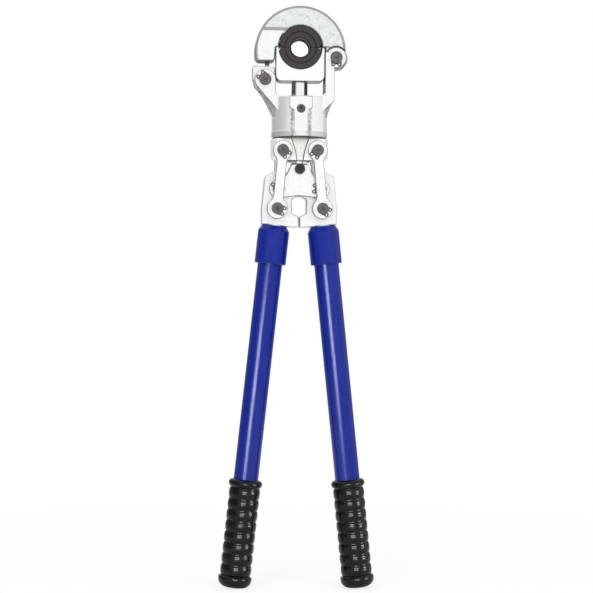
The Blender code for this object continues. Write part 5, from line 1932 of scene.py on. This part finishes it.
@dataclass
class Handle:
    """Lever, painted ferrule and tube, and ribbed rubber grip of one side."""

    bench: Bench
    lean: float = 6.0
    length: float = 379.0
    tube: float = 12.35
    tube_wall: float = 2.0
    ferrule: float = 15.7
    ferrule_neck: float = 12.7
    ferrule_length: float = 38.3
    ferrule_taper: float = 5.4
    neck_depth: float = 7.5
    shank_length: float = 62.0
    grip_length: float = 108.0
    ribs: int = 8
    rib: float = 15.6
    groove: float = 14.4
    bead: float = 16.8
    bead_height: float = 8.5
    end_height: float = 12.0
    end_radius: float = 8.0
    grip_bottom: float = 6.0
    half_thickness: float = 9.0
    boss: float = 10.3
    open_fit: float = 2.3
    foot: float = 16.3
    foot_width: float = 26.8
    top_radius: float = 18.0
    inner_radius: float = 20.4
    shoulder_x: float = 34.6
    shoulder_rise: float = 13.5
    flank_x: float = 37.8
    window_x: float = 7.2
    window_top: float = 10.5
    window_bottom: float = 24.0
    nose_height: float = 11.0
    nose_gap: float = 0.8

    def lever_outline(self) -> Outline:
        """Front outline of the right lever.

        Returns:
            The outline.
        """
        pivot = spot_of("lever_pivot_pin_right")
        pin = spot_of("lower_link_pin_right")
        lean = math.radians(self.lean)
        foot_x = pin.x + self.foot * math.sin(lean)
        foot_z = pin.z - self.foot * math.cos(lean)
        half = self.foot_width / 2
        outer = (foot_x + half * math.cos(lean), foot_z + half * math.sin(lean))
        inner = (foot_x - half * math.cos(lean), foot_z - half * math.sin(lean))
        nose_x = self.nose_gap / 2
        nose_top = pivot.z - self.window_bottom - 3.4
        top = arc(*pivot.pair, self.top_radius, 76, 90)[0]
        points = rounded([outer, (self.flank_x, pin.z),
                          (self.shoulder_x, pivot.z + self.shoulder_rise, 5.0), top])[:-1]
        points += arc(*pivot.pair, self.top_radius, 74, 135)
        points += arc(*pivot.pair, self.inner_radius, 144, 199)
        points += rounded([points[-1], (self.window_x, pivot.z - self.window_top, 1.5),
                           (self.window_x, pivot.z - self.window_bottom, 1.5),
                           (nose_x, nose_top, 1.5), (nose_x, nose_top - self.nose_height, 2.0),
                           inner])[1:]
        return points

    def along(self, item: bpy.types.Object, side: Side) -> bpy.types.Object:
        """Lay a body that is drawn down from the origin along a handle's own axis.

        Args:
            item: the body.
            side: side of the handle.

        Returns:
            The same body.
        """
        pin = spot_of(f"lower_link_pin_{side.word}")
        turn = Matrix.Rotation(-side.value * math.radians(self.lean), 4, "Y")
        item.data.transform(Matrix.Translation(Vector(pin.place) * MM) @ turn)
        return item

    def lever(self, side: Side) -> None:
        """Forged lever with link bosses and a shank inside the tube.

        Args:
            side: left or right.
        """
        bench = self.bench
        pivot = spot_of(f"lever_pivot_pin_{side.word}")
        pin = spot_of(f"lower_link_pin_{side.word}")
        item = bench.plate(f"lever_{side.word}_forging", mirrored(self.lever_outline(), side),
                           -self.half_thickness, self.half_thickness, 1.4, 4)
        for way in Way:
            bench.join(item, bench.plate("boss", circle(*pin.pair, self.boss),
                                         way.value * (self.half_thickness - 1),
                                         way.value * BLOCK_FACE, 0.4))
        shank = self.tube - self.tube_wall - GAP
        stub = bench.rod(shank, -self.foot - self.shank_length, -self.foot + 1.0, "Z")
        bench.join(item, self.along(stub, side))
        bench.pierce(item, pivot, LINK_PIN + PIN_FIT, self.half_thickness + 1)
        bench.pierce(item, pin, LINK_PIN + self.open_fit, BLOCK_FACE + 1)
        bench.done(item, f"handle_{side.word}", LEVER_PLATING, f"lever_{side.word}")

    def sleeve(self, node: str, side: Side, profile: Outline, finish: Finish,
               angle: float = 40.0) -> None:
        """Turned piece along a handle's axis, from radii and distances below the link pin.

        Args:
            node: stem of the node's name.
            side: left or right.
            profile: corners as (radius, distance).
            finish: its finish.
            angle: edges sharper than this stay sharp, in degrees.
        """
        item = self.bench.turned(f"{node}_{side.word}_skin", [(r, -z) for r, z in profile],
                                 steps=96)
        self.bench.done(self.along(item, side), f"handle_{side.word}", finish,
                        f"{node}_{side.word}", angle=angle)

    def grip_profile(self) -> Outline:
        """Section of the grip: bead, rolled ribs and rounded end.

        Returns:
            Corners as (radius, distance below the link pin).
        """
        top = self.length - self.grip_length
        bore = self.tube + GAP
        first = top + self.bead_height
        last = self.length - self.end_height
        pitch = (last - first) / self.ribs
        roll = self.bead_height / 2
        profile = [(bore, top + 1.2), (bore + 0.4, top + 0.5), (self.bead - roll, top)]
        profile += [(self.bead - roll + roll * math.sin(a), top + roll - roll * math.cos(a))
                    for a in spread(15, 150, 9)]
        for index in range(self.ribs):
            start = first + index * pitch
            for step in range(10):
                share = step / 10
                swell = math.sin(math.pi * share) ** 0.6
                profile.append((self.groove + (self.rib - self.groove) * swell,
                                start + share * pitch))
        corner = self.end_radius
        profile += [(self.groove, last), (self.groove + 0.6, last + 0.25),
                    (self.bead - 1.6, last + 0.8), (self.bead - 0.5, last + 1.3),
                    (self.bead, last + 2.2)]
        profile += [(self.bead - corner + corner * math.cos(a),
                     self.length - corner + corner * math.sin(a)) for a in spread(0, 90, 10)]
        return profile + [(0.0, self.length), (0.0, self.length - self.grip_bottom + GAP),
                          (bore, self.length - self.grip_bottom + GAP)]

    def build(self, side: Side) -> None:
        """All pieces of one handle.

        Args:
            side: left or right.
        """
        self.lever(side)
        shank = self.tube - self.tube_wall
        top = self.foot + GAP
        low = top + self.ferrule_length
        tube_top = top + self.neck_depth
        wide = self.ferrule
        self.sleeve("ferrule", side, [
            (shank, top), (self.ferrule_neck - 0.4, top), (self.ferrule_neck, top + 0.3),
            (wide - 0.5, top + self.ferrule_taper - 0.9), (wide, top + self.ferrule_taper + 0.3),
            (wide, low - 1.2), (wide - 0.35, low - 0.35), (wide - 1.0, low),
            (self.tube + GAP, low), (self.tube + GAP, tube_top - GAP), (shank, tube_top - GAP),
        ], BLUE)
        end = self.length - self.grip_bottom
        self.sleeve("handle_tube", side, [(shank, tube_top), (self.tube, tube_top),
                                          (self.tube, end), (shank, end)], BLUE)
        self.sleeve("grip", side, self.grip_profile(), RUBBER, 60.0)


# Studio


@dataclass
class Studio:
    """Camera, soft lights, white surroundings and floor."""

    distance: float = 1750.0
    azimuth: float = -3.7
    aim_x: float = -1.5
    aim_z: float = 291.0
    roll: float = 0.395
    field: float = 593.0
    floor_near: float = 250.0
    floor_far: float = 900.0
    floor_glow: float = 0.8      # share of the floor near the tool that is plain white
    world_light: float = 0.55
    card_radius: float = 1.1
    card_low: float = -0.1
    card_high: float = 0.95

    def camera(self) -> None:
        """Camera at the photograph's angle."""
        data = bpy.data.cameras.new("camera")
        data.sensor_width = 36.0
        data.lens = data.sensor_width * self.distance / self.field
        data.clip_end = 20.0
        item = bpy.data.objects.new("camera", data)
        bpy.context.scene.collection.objects.link(item)
        turn = math.radians(self.azimuth)
        aim = Vector((self.aim_x, 0.0, self.aim_z)) * MM
        back = Vector((math.sin(turn), -math.cos(turn), 0.0))
        item.rotation_mode = "QUATERNION"
        look = (-back).to_track_quat("-Z", "Y").to_matrix().to_4x4()
        item.matrix_world = (Matrix.Translation(aim + back * self.distance * MM) @ look
                             @ Matrix.Rotation(math.radians(self.roll), 4, "Z"))
        bpy.context.scene.camera = item

    def lamp(self, name: str, place: Sequence[float], size: Sequence[float], power: float,
             gloss: bool = False) -> bpy.types.Object:
        """Area lamp that faces the middle of the tool.

        Args:
            name: the lamp's name.
            place: where it stands, in metres.
            size: its width and height, in metres.
            power: its power in watts.
            gloss: whether it only makes highlights, or only lights what is dull.

        Returns:
            The lamp.
        """
        data = bpy.data.lights.new(name, "AREA")
        data.shape = "RECTANGLE"
        data.size, data.size_y = size
        data.energy = power
        item = bpy.data.objects.new(name, data)
        bpy.context.scene.collection.objects.link(item)
        item.location = place
        item.visible_glossy = gloss
        item.visible_diffuse = not gloss
        target = Vector((0.0, 0.0, 0.3))
        item.rotation_mode = "QUATERNION"
        item.rotation_quaternion = (target - Vector(place)).to_track_quat("-Z", "Y")
        return item

    def glint(self, name: str, place: Sequence[float], size: Sequence[float], power: float,
              pieces: str) -> None:
        """Lamp that only draws a highlight, on pieces whose names start alike.

        Args:
            name: the lamp's name.
            place: where it stands, in metres.
            size: its width and height, in metres.
            power: its power in watts.
            pieces: start of the pieces' names.
        """
        item = self.lamp(name, place, size, power, True)
        shown = bpy.data.collections.new(name)
        for other in bpy.context.scene.objects:
            if other.name.startswith(pieces) and other.name.endswith("_skin"):
                shown.objects.link(other)
        item.light_linking.receiver_collection = shown

    def glints(self) -> None:
        """Highlights down the tubes' paint and across the ribs of the grips."""
        self.glint("tube_streak", (-0.60, -1.66, -0.15), (0.80, 1.0), 54.0, "handle_tube")
        for height in (0.02, 0.40):
            self.glint("front_dash", (-0.10, -1.7, height), (0.9, 0.10), 13.0, "grip")
            self.glint("side_dash", (1.5, -0.75, height), (0.6, 0.10), 9.0, "grip")

    def surroundings(self) -> None:
        """Even world light that camera, glossy and transmission rays see as white."""
        world = bpy.data.worlds.new("surroundings")
        bpy.context.scene.world = world
        web = Web(world)
        web.set(Color=WHITE, Strength=self.world_light)
        white = web.node("ShaderNodeBackground", inputs={"Color": WHITE, "Strength": 1.0})
        camera, glossy, through = (web.node("ShaderNodeLightPath", output=f"Is {kind} Ray")
                                   for kind in ("Camera", "Glossy", "Transmission"))
        web.cover(camera.math("MAXIMUM", glossy).math("MAXIMUM", through), white)

    def floor(self) -> None:
        """Pale floor under the grips that runs out into the white surroundings."""
        bpy.ops.object.select_all(action="DESELECT")
        bpy.ops.mesh.primitive_plane_add(size=12.0, location=(0.0, 0.0, -0.0005))
        item = bpy.context.object
        item.name = "floor"
        material = bpy.data.materials.new("pale_floor")
        web = Web(material)
        here = web.place()
        tone = web.noise(here, 400.0, 2.0)
        web.set(Base_Color=web.mix(tone, (0.93, 0.93, 0.93), (0.96, 0.96, 0.96)), Roughness=0.9,
                Specular_IOR_Level=0.0)
        reach = web.node("ShaderNodeVectorMath", {"operation": "LENGTH"}, {0: here}, "Value")
        far = reach.between(self.floor_near, self.floor_far)
        seen = web.node("ShaderNodeLightPath", output="Is Camera Ray")
        share = (far * (1.0 - self.floor_glow) + self.floor_glow) * seen
        glow = web.node("ShaderNodeEmission", inputs={"Color": WHITE, "Strength": 1.0})
        web.cover(share, glow)
        item.data.materials.append(material)

    def card(self, name: str, start: float, end: float, grey: float) -> None:
        """Grey card, curved round the tool, that only reflections show.

        Args:
            name: the card's name.
            start: first bearing in degrees from the front, towards +X.
            end: last bearing.
            grey: its tone.
        """
        bpy.ops.object.select_all(action="DESELECT")
        bpy.ops.mesh.primitive_grid_add(x_subdivisions=12, y_subdivisions=1, size=1.0)
        item = bpy.context.object
        item.name = name
        for vertex in item.data.vertices:
            turn = math.radians(start + (end - start) * (vertex.co.x + 0.5))
            height = self.card_low + (self.card_high - self.card_low) * (vertex.co.y + 0.5)
            vertex.co = (self.card_radius * math.sin(turn), -self.card_radius * math.cos(turn),
                         height)
        item.data.update()
        material = bpy.data.materials.new(name)
        web = Web(material)
        web.set(Base_Color=(0.0, 0.0, 0.0), Specular_IOR_Level=0.0)
        web.cover(1.0, web.node("ShaderNodeEmission", inputs={"Color": (grey, grey, grey)}))
        item.data.materials.append(material)
        for ray in ("camera", "diffuse", "shadow", "transmission"):
            setattr(item, f"visible_{ray}", False)

    def build(self) -> None:
        """The whole studio."""
        self.camera()
        self.surroundings()
        self.floor()
        self.card("left_card", -155.0, -48.0, 0.36)
        self.card("right_card", 115.0, 160.0, 0.40)
        self.lamp("key_box", (-0.8, -1.5, 0.9), (0.9, 0.9), 13.0)
        self.lamp("fill_box", (1.0, -1.4, 0.7), (0.9, 0.9), 8.0)
        self.lamp("top_box", (0.1, -0.7, 1.9), (1.4, 1.0), 9.0)
        self.lamp("rear_box", (0.2, 1.6, 1.2), (1.4, 1.0), 7.0)
        bpy.context.scene.view_settings.view_transform = "Standard"


def dress_hidden(bench: Bench) -> None:
    """Give the frame nodes that stay, inside the tool, their finishes.

    Args:
        bench: the bench, whose rack holds the materials.
    """
    for node in ("upper_die_dowel", "lower_die_dowel", "die_holder_pin"):
        item = bpy.data.objects[node]
        item.data.materials.clear()
        item.data.materials.append(bench.rack.take(MILLED))


def main() -> None:
    """Build the studio and every piece of the tool."""
    logging.basicConfig(level=logging.INFO, format="%(message)s")
    studio = Studio()
    studio.build()
    bench = Bench()
    dies = Dies(bench)
    dies.build()
    Jaw(bench, dies).build()
    Latch(bench, LatchSlots(dies)).build()
    Holder(bench, dies).build()
    Ram(bench).build()
    Fork(bench).build()
    Block(bench).build()
    PushPlates(bench).build()
    Screws(bench).build()
    handle = Handle(bench)
    links = Links(bench)
    fasteners = Fasteners(bench)
    fasteners.fit("jaw_hinge", None, "head", HEAD_PIN, HEAD_FACE, 270.0)
    fasteners.fit("latch", None, "head", HEAD_PIN, HEAD_FACE, 135.0)
    openings = {Side.LEFT: (312.0, 336.0, 120.0), Side.RIGHT: (237.0, 326.0, 176.0)}
    for side in Side:
        handle.build(side)
        links.build(side)
        upper, lower, pivot = openings[side]
        body = f"links_{side.word}"
        fasteners.fit("upper_link", side, body, LINK_PIN, LINK_FACE, upper)
        fasteners.fit("lower_link", side, body, LINK_PIN, LINK_FACE, lower)
        fasteners.fit("lever_pivot", side, "push", LINK_PIN, PLATE_FACE, pivot)
    studio.glints()
    dress_hidden(bench)


if __name__ == "__main__":
    main()
